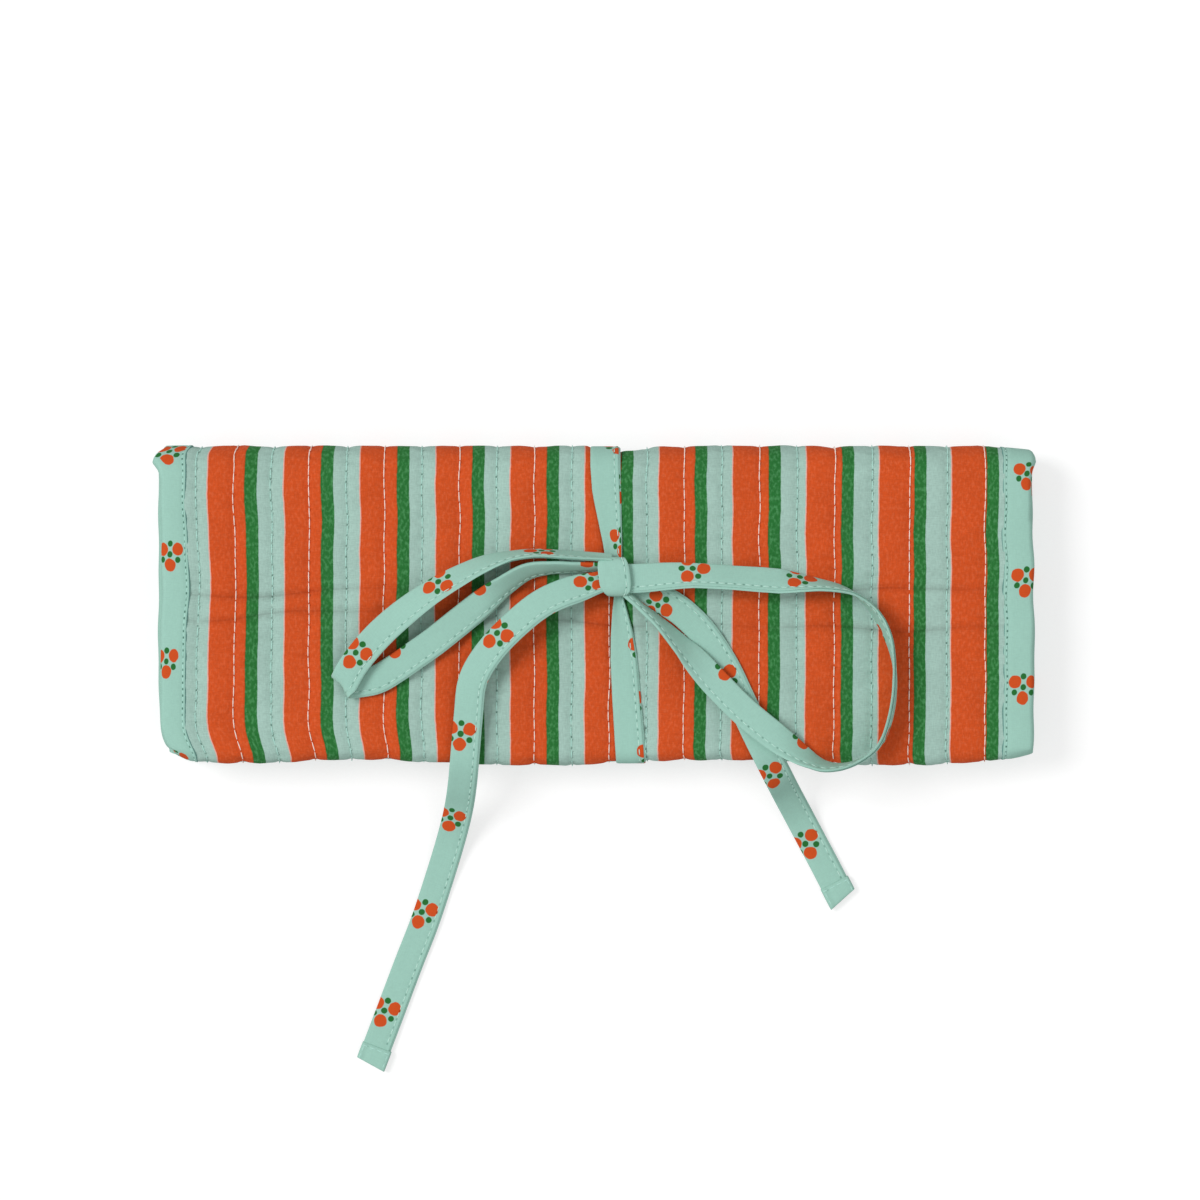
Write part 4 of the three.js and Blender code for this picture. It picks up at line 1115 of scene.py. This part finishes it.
def bow_ribbon(name, node, route, hand, shift, gathers, fold=None, tip=None, behind=1):
    """A loop or tail of the bow, with its topstitching and, on a tail, its folded tip.

    gathers gives, for each end, the share of its width that is left in the knot and how far out that
    reaches. tip gives the node of a tail's tip and the slope of its slanting end. hand, shift and behind are
    the tape's.
    """
    middles, bank = through(route)
    along, side, face = ribbon_frames(middles, bank, fold)
    run = lengths_along(middles)
    (start_share, start_reach), (end_share, end_reach) = gathers
    widths = RIBBON * (1 - (1 - start_share) * (1 - smooth(run / start_reach)))
    widths = widths * (1 - (1 - end_share) * (1 - smooth((run[-1] - run) / end_reach)))
    tape, _ = ribbon(name, middles, side, face, widths, hand, shift, behind)
    pieces = [ribbon_threads(name + "_topstitch", middles, along, side, face, run, widths, hand)]
    if tip:
        pieces += folded_tip(name, *tip, middles[-1], along[-1], side[-1], face[-1])
    for piece in (tape, *pieces):
        flatten(piece)
    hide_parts(node)


def folded_tip(name, node, slope, end, along, side, face):
    """A tail's tip: the tape folded back on itself and sewn.

    It is a flat pad with rounded edges and a slanting end: the tape's outline, carried on along the path.
    """
    steps = np.array([0.0, 0.25, 0.7, 1.5, 3.0, 4.4, 5.0, 5.25])
    swell = np.array([0.6, 0.85, 0.97, 1.0, 1.0, 0.97, 0.85, 0.6])
    across, through_it = ribbon_outline(RIBBON, RIBBON_PLY)
    slant = slope * across[None] * smooth(steps / 3)[:, None]
    rings = (
        end
        + (steps[:, None] + slant)[..., None] * along
        + (across[None] * (1.04 + 0.03 * swell[:, None]))[..., None] * side
        + (through_it[None] * 1.8 * swell[:, None])[..., None] * face
    )
    uv = together(across[None] + PLAIN_CLOTH, steps[:, None])
    pad = turned_out(loft(name + "_tip", rings, uv, PRINT, 70.0))
    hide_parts(node)
    level = end + 0.8 * face
    row = [level + e * side + 0.9 * along for e in np.linspace(-3.1, 3.1, 4)]
    sides = [level + s * 3.5 * side + (r + slope * s) * along for s in (-1, 1) for r in (2.0, 4.0)]
    ahead = np.array([side] * len(row) + [along] * len(sides))
    up = np.tile(face, (len(ahead), 1))
    sewn = threads(name + "_tip_stitch", np.array(row + sides), ahead, up, BAR_THREAD, MINT_THREAD)
    return [pad, sewn]


WHOLE = (1.0, 1.0)  # an end that isn't gathered
bow_ribbon(
    "left_loop",
    "tie_left_loop",
    LEFT_LOOP,
    hand=-1,
    shift=(1.5, 10),
    gathers=((0.6, 14), (0.6, 14)),
    fold=LEFT_LOOP_FOLD,
    behind=-1,
)
bow_ribbon(
    "right_loop",
    "tie_right_loop",
    RIGHT_LOOP,
    hand=1,
    shift=(2, 9),
    gathers=(WHOLE, (0.5, 24)),
)
bow_ribbon(
    "left_tail",
    "tie_left_tail",
    LEFT_TAIL,
    hand=-1,
    shift=(16.2, 9),
    gathers=((0.7, 12), WHOLE),
    tip=("tie_left_tip", -0.15),
)
bow_ribbon(
    "right_tail",
    "tie_right_tail",
    RIGHT_TAIL,
    hand=-1,
    shift=(2, 18),
    gathers=((0.4, 14), WHOLE),
    tip=("tie_right_tip", 0.28),
)


def knot_point(x, size, angle):
    """A point of the knot, a short barrel round the crossing, x from its middle.

    Round it, a section is a soft-cornered block. It is narrower at its back end and more so at its front end,
    and leans a little.
    """
    wide, tall = np.cos(angle), np.sin(angle)
    y = np.sign(wide) * np.abs(wide) ** 0.62
    z = np.sign(tall) * np.abs(tall) ** 0.7
    taper = 1 - 0.2 * np.clip(y, 0, 1) ** 4 - 0.4 * np.clip(-y, 0, 1) ** 4
    middle, half = (KNOT_TOP + KNOT_BOTTOM) / 2, (KNOT_TOP - KNOT_BOTTOM) / 2
    return together(
        KNOT[0] - 0.2 - 0.6 * y + x * taper,
        KNOT[1] + KNOT_HALF * size * y,
        middle + half * size * z + 0.1 * ripple(x * 2 + 0 * angle, angle * 4, 8, 9, 3, 6),
    )


def knot():
    """The knot: one turn of tape over the crossing. Its two rims turn in round the loops and tails."""
    x, size = np.array(KNOT_PROFILE).T
    angle = np.linspace(0, 2 * np.pi, 48, endpoint=False)
    rings = knot_point(x[:, None], size[:, None], angle[None])
    uv = together(x[:, None] + PLAIN_CLOTH, (angle[None] - QUARTER) * 4.5)
    sewn = together(x[:, None] - KNOT_LINE, (angle[None] - QUARTER) / KNOT_STITCH + 0.5)
    turn = flatten(turned_out(loft("knot", rings, uv, PRINT, 60.0, sewn)))
    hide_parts("tie_knot")
    at = QUARTER + KNOT_STITCH * (np.arange(-3, 3) + 0.5)
    line = np.full(len(at), KNOT_LINE)
    middles = knot_point(line, 1.0, at)
    ahead = unit(knot_point(line, 1.0, at + 0.05) - middles)
    up = together(0.0, np.cos(at), np.sin(at))
    stitches = threads("knot_topstitch", middles, ahead, up, RIBBON_THREAD, LIGHT_THREAD, KNOT_THREAD)
    flatten(stitches)


def bend(piece, section):
    """Bakes a piece's placement into its mesh. The start and end of its section's fold corner are worked out,
    but the piece isn't bent.
    """
    before, _, after, shares = BENDS[section]
    before, after = np.array((0.0, *before)), np.array((0.0, *after))
    start, end = (before + share * (after - before) for share in shares)
    tuple(start * MM)
    tuple(end * MM)
    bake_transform(piece)


def band(name, section, runs, nodes, shift):
    """The tie over a fold: a tape pressed into the cover's outside, from one run to another."""
    run = np.linspace(*runs, 70)
    x, wide = band_place(run)
    y, z, heading = spiral(run, BAND_PRESS - RIBBON_PLY / 2 - 0.15)
    middles = together(x, y + drawn_back(x, run), z)
    along = unit(np.gradient(middles, axis=0))
    face = outwards(heading)
    side = unit(np.cross(along, face))
    tape, length = ribbon(name, middles, side, face, wide, -1, shift)
    sewn = ribbon_threads(name + "_topstitch", middles, along, side, face, length, wide, -1)
    for piece in (tape, sewn):
        bend(piece, section)
    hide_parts(*nodes)


def front_anchor():
    """The tie's sewn end: an upright tape on the base's front binding."""
    middles = together(FRONT_BAND_X, FRONT + 0.1, np.linspace(0.4, 11.8, 16))
    along = np.tile([[0.0, 0.0, 1.0]], (16, 1))
    face = np.tile([[0.0, -1.0, 0.0]], (16, 1))
    side = np.cross(along, face)
    tape, length = ribbon("front_anchor", middles, side, face, RIBBON, -1, (3, 20))
    sewn = ribbon_threads("front_anchor_topstitch", middles, along, side, face, length, RIBBON, -1)
    cross = together(FRONT_BAND_X + np.linspace(-3, 3, 4), FRONT - 0.3, 3.0)
    across = np.tile([[1.0, 0.0, 0.0]], (4, 1))
    bar = threads("front_anchor_bar_stitch", cross, across, face[:4], BAR_THREAD, LIGHT_THREAD)
    for piece in (tape, sewn, bar):
        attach(piece, "base")
    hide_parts("tie_front_anchor")


knot()
BACK_BAND_RUNS = (STARTS[2] - 7.5, FLAP_MIDDLE - 10.4)
FRONT_BAND_RUNS = (FLAP_MIDDLE - 4.4, STARTS[7] + 2)
band("back_band", "back", BACK_BAND_RUNS, ("tie_back_riser", "tie_back_band"), (11, 4))
band("front_band", "front", FRONT_BAND_RUNS, ("tie_front_band", "tie_front_riser"), (-6, 12))
front_anchor()


# The panel


def stations(section, step, first=0.0, last=0.0):
    """Runs along a section, about a step apart, with a length left out at its first and last end."""
    start, end = SECTIONS[section]
    return np.linspace(start + first, end - last, int((end - start) / step) + 2)


def on_panel(x, run, depth):
    """Points at x and run, that deep in the panel, with the cloth's sideways stray."""
    y, z, _ = spiral(run, depth)
    return together(x + sideways(x, run), y + drawn_back(x, run, depth), z)


def seam_frames(x, run, depth, ahead_depth):
    """Places of stitches along a seam on the panel, the direction to the next place, and the way out."""
    points = on_panel(x, run, depth)
    ahead = unit(on_panel(x, run + NEXT_POINT, ahead_depth) - points)
    _, _, heading = spiral(run, 0.0)
    return points, ahead, outwards(heading)


def cover(section, first, last, nodes):
    """The striped cover of one section: its relief over a flat back, from binding to binding."""
    run = stations(section, 0.9, first, last)[:, None]
    x = np.linspace(-CLOTH_EDGE, CLOTH_EDGE, 298)[None]
    face = on_panel(x, run, cover_depth(x, run))
    back = on_panel(x, run, np.maximum(COVER + 0.1, cover_depth(x, run) + 0.4))
    piece = turned_out(slab("cover_" + section, face, back, together(x, run), STRIPES))
    bend(piece, section)
    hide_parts(*nodes)
    for kind, odd, finish, share in (("mint", 0, MINT_THREAD, 0.95), ("pale", 1, PALE_THREAD, 1.02)):
        # At a bound end the stitches keep a little away from the cloth's edge
        start, end = run[0, 0] + first / 6, run[-1, 0] - last / 6
        place = np.arange(math.floor(start / STITCH), math.ceil(end / STITCH) + SEAM_COUNT)
        grid = np.meshgrid(np.arange(odd, SEAM_COUNT, 2), place, indexing="ij")
        number, place = (part.ravel() for part in grid)
        stitch = (place - STAGGER * number) * STITCH
        inside = (stitch > start) & (stitch < end)
        number, stitch = number[inside], stitch[inside]
        seam = FIRST_SEAM + SEAM_PITCH * number + 0.09 * np.sin(7.3 * place[inside] + 2.1 * number)
        depth = cover_depth(seam, stitch)
        places = seam_frames(seam, stitch, depth - 0.08, depth)
        sewn = threads(f"quilting_{kind}_{section}", *places, share * STITCH, finish)
        bend(sewn, section)


def opened_length(section, y, z):
    """The distance along a section's rows when the roll is open.

    Each row turns about its corner's outer edge, by a share of a quarter turn from the corner's shares in
    BENDS.
    """
    before, edge, after, (low, high) = BENDS[section]
    wide, tall = after[0] - before[0], after[1] - before[1]
    share = ((y - before[0]) * wide + (z - before[1]) * tall) / (wide**2 + tall**2)
    turn = QUARTER * smooth((share - low) / (high - low))
    dy, dz = y - edge[0], z - edge[1]
    opened_y = dy * np.cos(turn) + dz * np.sin(turn)
    opened_z = dz * np.cos(turn) - dy * np.sin(turn)
    return lengths_along(together(opened_y, opened_z))


def lining(section, first, last, nodes, printed):
    """The lining of one section: a thin sheet on the inside of the fold.

    Its print goes on from a length that the sections before it have, and follows the opened panel. Gives the
    length after it.
    """
    run = stations(section, 1.0, first, last)[:, None]
    x = np.linspace(-CLOTH_EDGE, CLOTH_EDGE, 240)[None]
    face = on_panel(x, run, lining_depth(x, run))
    back = on_panel(x, run, QUILT - LINING + 0 * x)
    y, z, _ = spiral(run[:, 0], QUILT - 0.05)
    along = printed + opened_length(section, y, z)
    uv = together(x, along[:, None])
    piece = turned_out(slab("lining_" + section, face, back, uv, LINING_CLOTH))
    bend(piece, section)
    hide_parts(*nodes)
    return along[-1]


def binding_outline():
    """A binding's section: a tape folded round the padded edge.

    Its outer face is proud of the cover, dips along the topstitching, and rounds over the edge to the inner
    face. Gives places across, shares of the panel's thickness, and what is added to that depth.
    """
    rounding = 1.5
    flat = SIDE - BINDING_HEM - rounding
    over = np.array([0.0, 0.25, 0.9, 1.3, 1.7, 3.0, 5.0, flat])
    proud = np.array([0.05, -0.2, -0.22, -0.06, -0.2, -0.24, -0.24, -0.2])
    angle = np.radians(np.linspace(75, -75, 7))
    edge_across = flat + rounding * np.cos(angle)
    edge_deep = 0.5 - 0.5 * np.sin(angle) / math.sin(math.radians(75))
    across = BINDING_HEM + np.concatenate([over, edge_across, over[::-1]])
    share = np.concatenate([np.zeros(8), edge_deep, np.ones(8)])
    extra = np.concatenate([proud, np.linspace(-0.12, 0.05, 7), -0.2 * proud[::-1]])
    return across, share, extra


def hem_waver(run):
    """How far a side binding wavers outwards along the panel."""
    return 0.25 * ripple(run * 0 + 3.0, run, 41, 50, 14, 6)


def binding(section, side, nodes):
    """A side binding of one section, with its topstitching on the outside.

    Its section is carried along the panel. The outer face puckers along the topstitching and is a little
    uneven, except on the table.
    """
    run = stations(section, 1.0)[:, None]
    thick = QUILT + (BASE_THICK - QUILT) * np.clip((BACK_MIDDLE - run) / 14, 0, 1)
    across, share, extra = binding_outline()
    outside = share[None] < 0.5
    beside_line = np.exp(-(((across[None] - CLOTH_EDGE - 0.8) / 1.2) ** 2))
    pucker = 0.07 * np.sin(2 * np.pi * run / BINDING_STITCH) * beside_line
    bumps = 0.08 * ripple(across[None], run, 31, 24, 6, 8) * outside
    lifted = off_table(run)
    proud = np.where(outside, extra[None] * lifted + 0.1 * (1 - lifted), extra[None])
    deep = share[None] * thick + proud + (pucker + bumps) * lifted * outside
    x = side * (across[None] + hem_waver(run))
    rings = on_panel(x, run, deep)
    length = lengths_along(together(across, share * QUILT))
    print_across = side * (length[None] - 6.5) + 0.03 * (run - FLAP_MIDDLE)
    uv = together(print_across, run + 11 * side)
    name = ("left" if side < 0 else "right") + "_binding_" + section
    away = np.where(outside, across[None] - (BINDING_HEM + STITCH_INSET), FAR_AWAY)
    first_stitch = run[0, 0] + 1.2
    stitches = together(away, (run - first_stitch) / BINDING_STITCH)
    piece = turned_out(loft(name, rings, uv, BINDING_PRINT, 60.0, stitches))
    places = np.arange(first_stitch, run[-1, 0] - 1, BINDING_STITCH)
    line = side * (BINDING_HEM + STITCH_INSET + hem_waver(places))
    deep_line = -0.14 * off_table(places)
    seam = seam_frames(line, places, deep_line, deep_line)
    sewn = threads(name + "_topstitch", *seam, STITCH_SHARE * BINDING_STITCH, MINT_THREAD, FINE_THREAD)
    for part in (piece, sewn):
        bend(part, section)
    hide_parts(*nodes)


def end_binding(name, edge_run, inwards, thick, body, node):
    """A binding across a free end of the panel: the side binding's section, carried along X."""
    across, share, extra = binding_outline()
    x = np.linspace(-POCKET_EDGE, POCKET_EDGE, 220)[:, None]
    run = edge_run + inwards * (SIDE - across[None])
    on_table = 0.06 if edge_run == 0 else 0.0
    deep = share[None] * thick + np.where(share[None] < 0.5, np.maximum(extra[None], on_table), extra[None])
    deep = deep + 0.06 * ripple(x, run, 33, 24, 6, 8) * (share[None] > 0.5)
    y, z, _ = spiral(run + 0 * x, deep)
    rings = together(x, y + drawn_back(x, run), z)
    piece = turned_out(loft(name, rings, together(across[None] - 100, x), BINDING_PRINT, 60.0))
    places = np.arange(-CLOTH_EDGE + 2, CLOTH_EDGE - 1, BINDING_STITCH)
    y, z, _ = spiral(np.full(len(places), edge_run + inwards * (BINDING - 0.9)), thick + 0.05)
    ahead = np.tile([[1.0, 0.0, 0.0]], (len(places), 1))
    up = np.tile([[0.0, 0.0, 1.0]], (len(places), 1))
    length = STITCH_SHARE * BINDING_STITCH
    sewn = threads(name + "_topstitch", together(places, y, z), ahead, up, length, MINT_THREAD, FINE_THREAD)
    for part in (piece, sewn):
        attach(part, body)
    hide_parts(node)


COVER_NODES = {
    "base": ("base_cover", "base_wadding"),
    "back": ("back_fold_cover", "back_fold_wadding"),
    "front": ("flap_cover", "flap_wadding"),
    "inner": ("front_fold_cover", "front_fold_wadding", "inner_cover", "inner_wadding"),
}
LINING_NODES = {
    "base": ("base_lining",),
    "back": ("back_fold_lining",),
    "front": ("flap_lining",),
    "inner": ("front_fold_lining", "inner_lining"),
}
BINDING_NODES = {
    "base": ("base_binding_",),
    "back": ("back_fold_binding_",),
    "front": ("flap_binding_",),
    "inner": ("front_fold_binding_", "inner_binding_"),
}
printed = BINDING
for section in SECTIONS:
    first = BINDING - 0.4 if section == "base" else 0.0
    last = BINDING - 0.4 if section == "inner" else 0.0
    cover(section, first, last, COVER_NODES[section])
    printed = lining(section, first, last, LINING_NODES[section], printed)
    for side, hand in ((-1, "left"), (1, "right")):
        binding(section, side, [node + hand for node in BINDING_NODES[section]])
end_binding("front_binding", 0.0, 1, BASE_THICK, "base", "base_binding_front")
end_binding("inner_end_binding", PANEL_END, -1, QUILT, "inner_flap", "inner_binding_end")


# Inside the roll


def flat_cloth(name, half, runs, deep, body, node, bulge, seed):
    """A sewn-on pocket cloth: a sheet that swells a little between its sewn edges."""
    run = np.linspace(*runs, 40)[:, None]
    x = np.linspace(-half, half, 200)[None]
    share = (run - runs[0]) / (runs[1] - runs[0])
    swell = bulge * np.sin(np.pi * share) * (1 - (x / half) ** 8)
    level = deep[1] + swell + 0.07 * ripple(x, run, seed, 40, 8)
    face = together(x, *spiral(run, level)[:2])
    back = together(x, *spiral(run, level - (deep[1] - deep[0]))[:2])
    piece = turned_out(slab(name, face, back, together(x + 7 * seed, run), LINING_CLOTH))
    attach(piece, body)
    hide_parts(node)


def straight_stitches(name, start, end, up, body):
    """A straight row of topstitches from one point to another."""
    start, end = np.array(start, float), np.array(end, float)
    length = np.linalg.norm(end - start)
    ahead = (end - start) / length
    middles = start + np.arange(TOPSTITCH / 2, length, TOPSTITCH)[:, None] * ahead
    ahead = np.tile(ahead, (len(middles), 1))
    up = np.tile(up, (len(middles), 1))
    sewn = threads(name, middles, ahead, up, STITCH_SHARE * TOPSTITCH, MINT_THREAD, FINE_THREAD)
    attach(sewn, body)


def zip_pocket():
    """The base's pocket: two cloth panels, the zip's tapes, its interlocked teeth, and brass ends."""
    panel = (BASE_THICK - LINING, BASE_THICK)
    front_runs = (BINDING + 0.1, ZIP_Y - FRONT - ZIP_GAP)
    back_runs = (ZIP_Y - FRONT + ZIP_GAP, 77.0)
    flat_cloth("pocket_front", POCKET_EDGE, front_runs, panel, "base", "pocket_panel_front", 0.35, 2)
    flat_cloth("pocket_back", POCKET_EDGE, back_runs, panel, "base", "pocket_panel_back", 0.3, 4)
    level = BASE_THICK + 0.12
    for name, y in (("front", ZIP_Y - 5.6), ("back", ZIP_Y + 5.6)):
        straight_stitches("pocket_topstitch_" + name, (-110, y, level), (110, y, level), (0, 0, 1), "base")
    for name, side in (("front", -1), ("back", 1)):
        x = np.linspace(-ZIP_END, ZIP_END, 60)[:, None]
        y = ZIP_Y + side * np.linspace(0.6, 7.6, 14)[None]
        back, face = (together(x, y, level) for level in TAPE_LEVEL)
        tape = turned_out(slab("zip_tape_cloth_" + name, face, back, together(x, y), TAPE))
        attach(tape, "base")
        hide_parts("zip_tape_" + name)
        offset = TOOTH_PITCH / 2 if side > 0 else 0.0
        places = np.arange(-ZIP_END + 4 + offset, ZIP_END - 4, TOOTH_PITCH)
        middles = together(places, ZIP_Y + side * 0.9, TOOTH_LEVEL)
        across = np.tile([[0.0, 1.0, 0.0]], (len(places), 1))
        up = np.tile([[0.0, 0.0, 1.0]], (len(places), 1))
        teeth = threads("zip_teeth_" + name, middles, across, up, TOOTH_LENGTH, NYLON, TOOTH_RADIUS)
        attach(teeth, "base")
        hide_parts("zip_coil_" + name)


def ring_bar():
    """A stuffed roll of cloth with gathered ends, between a sewn tab and a tab with a snap."""
    share = np.linspace(-1, 1, 70)
    x = (BAR_LEFT + BAR_RIGHT) / 2 + share * (BAR_RIGHT - BAR_LEFT) / 2
    radius = BAR_RADIUS * np.clip(1 - np.abs(share) ** 26, 0.03, 1) ** 0.5
    angle = np.linspace(0, 2 * np.pi, 40, endpoint=False)
    gather = 0.09 * np.exp(-((1 - np.abs(share)) * 14))[:, None] * np.sin(9 * angle)[None]
    soft = 1 - 0.02 * (ripple(x[:, None], angle[None] * 4, 17, 30, 6, 8) + 1)
    r = radius[:, None] * (soft + gather)
    rings = together(x[:, None], BAR_Y + r * np.cos(angle)[None], BAR_Z + r * np.sin(angle)[None])
    uv = together(x[:, None], angle[None] * BAR_RADIUS + 8)
    roll = turned_out(loft("ring_roll", rings, uv, PRINT, 80.0))
    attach(roll, "ring_bar")
    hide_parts("ring_bar_roll")
    tabs = (
        ("ring_anchor", -64.0, -50.0, ANCHOR_LEVEL, "flap", "ring_bar_anchor"),
        ("ring_tab", BAR_RIGHT - 1.2, 54.3, TAB_LEVEL, "ring_bar", "ring_bar_tab"),
    )
    for name, left, right, (low, high), body, node in tabs:
        x = np.linspace(left, right, 24)[:, None]
        narrowed = np.ones(24)
        narrowed[[0, -1]] = 0.94
        across, through_it = ribbon_outline(TAB, high - low)
        rings = together(x, BAR_Y + across[None] * narrowed[:, None], (low + high) / 2 + through_it[None])
        tab = turned_out(loft(name, rings, together(across[None] + TAB / 2, x), PRINT, 70.0))
        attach(tab, body)
        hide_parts(node)
    level = ANCHOR_LEVEL[0] - 0.05
    for y in (BAR_Y - 3.6, BAR_Y + 3.6):
        straight_stitches(f"anchor_stitch_{y:.0f}", (-63, y, level), (-52, y, level), (0, 0, -1), "flap")


def inner_pocket():
    """The inner flap's patch pocket, with a sewn edge and two dividing rows of stitches."""
    runs = (PANEL_END - PATCH_REACH, PANEL_END - BINDING - 2.0)
    deep = (QUILT + 0.3, QUILT + 0.9)
    flat_cloth("patch_pocket", PATCH_HALF, runs, deep, "inner_flap", "inner_patch_pocket", 0.0, 6)
    level = INNER_LEVEL + deep[1] + 0.1
    y0, y1 = FRONT + FRONT_RADIUS + 2.4, INNER_END - BINDING - 2.4
    for number, x in enumerate((-108.0, -36.0, 36.0, 108.0)):
        row = (x, y0, level), (x, y1, level)
        straight_stitches(f"patch_divider_{number}", *row, (0, 0, 1), "inner_flap")
    hem = (-108, y0 + 1, level), (108, y0 + 1, level)
    straight_stitches("patch_hem", *hem, (0, 0, 1), "inner_flap")


zip_pocket()
ring_bar()
inner_pocket()
ZIP_METAL = ("zip_slider", "zip_pull", "zip_stop_left", "zip_stop_right")
SNAP_METAL = ("snap_socket", "snap_stud", "snap_cap")
for node in ZIP_METAL + SNAP_METAL:
    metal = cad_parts[node]
    metal.data.materials.clear()
    metal.data.materials.append(BRASS)
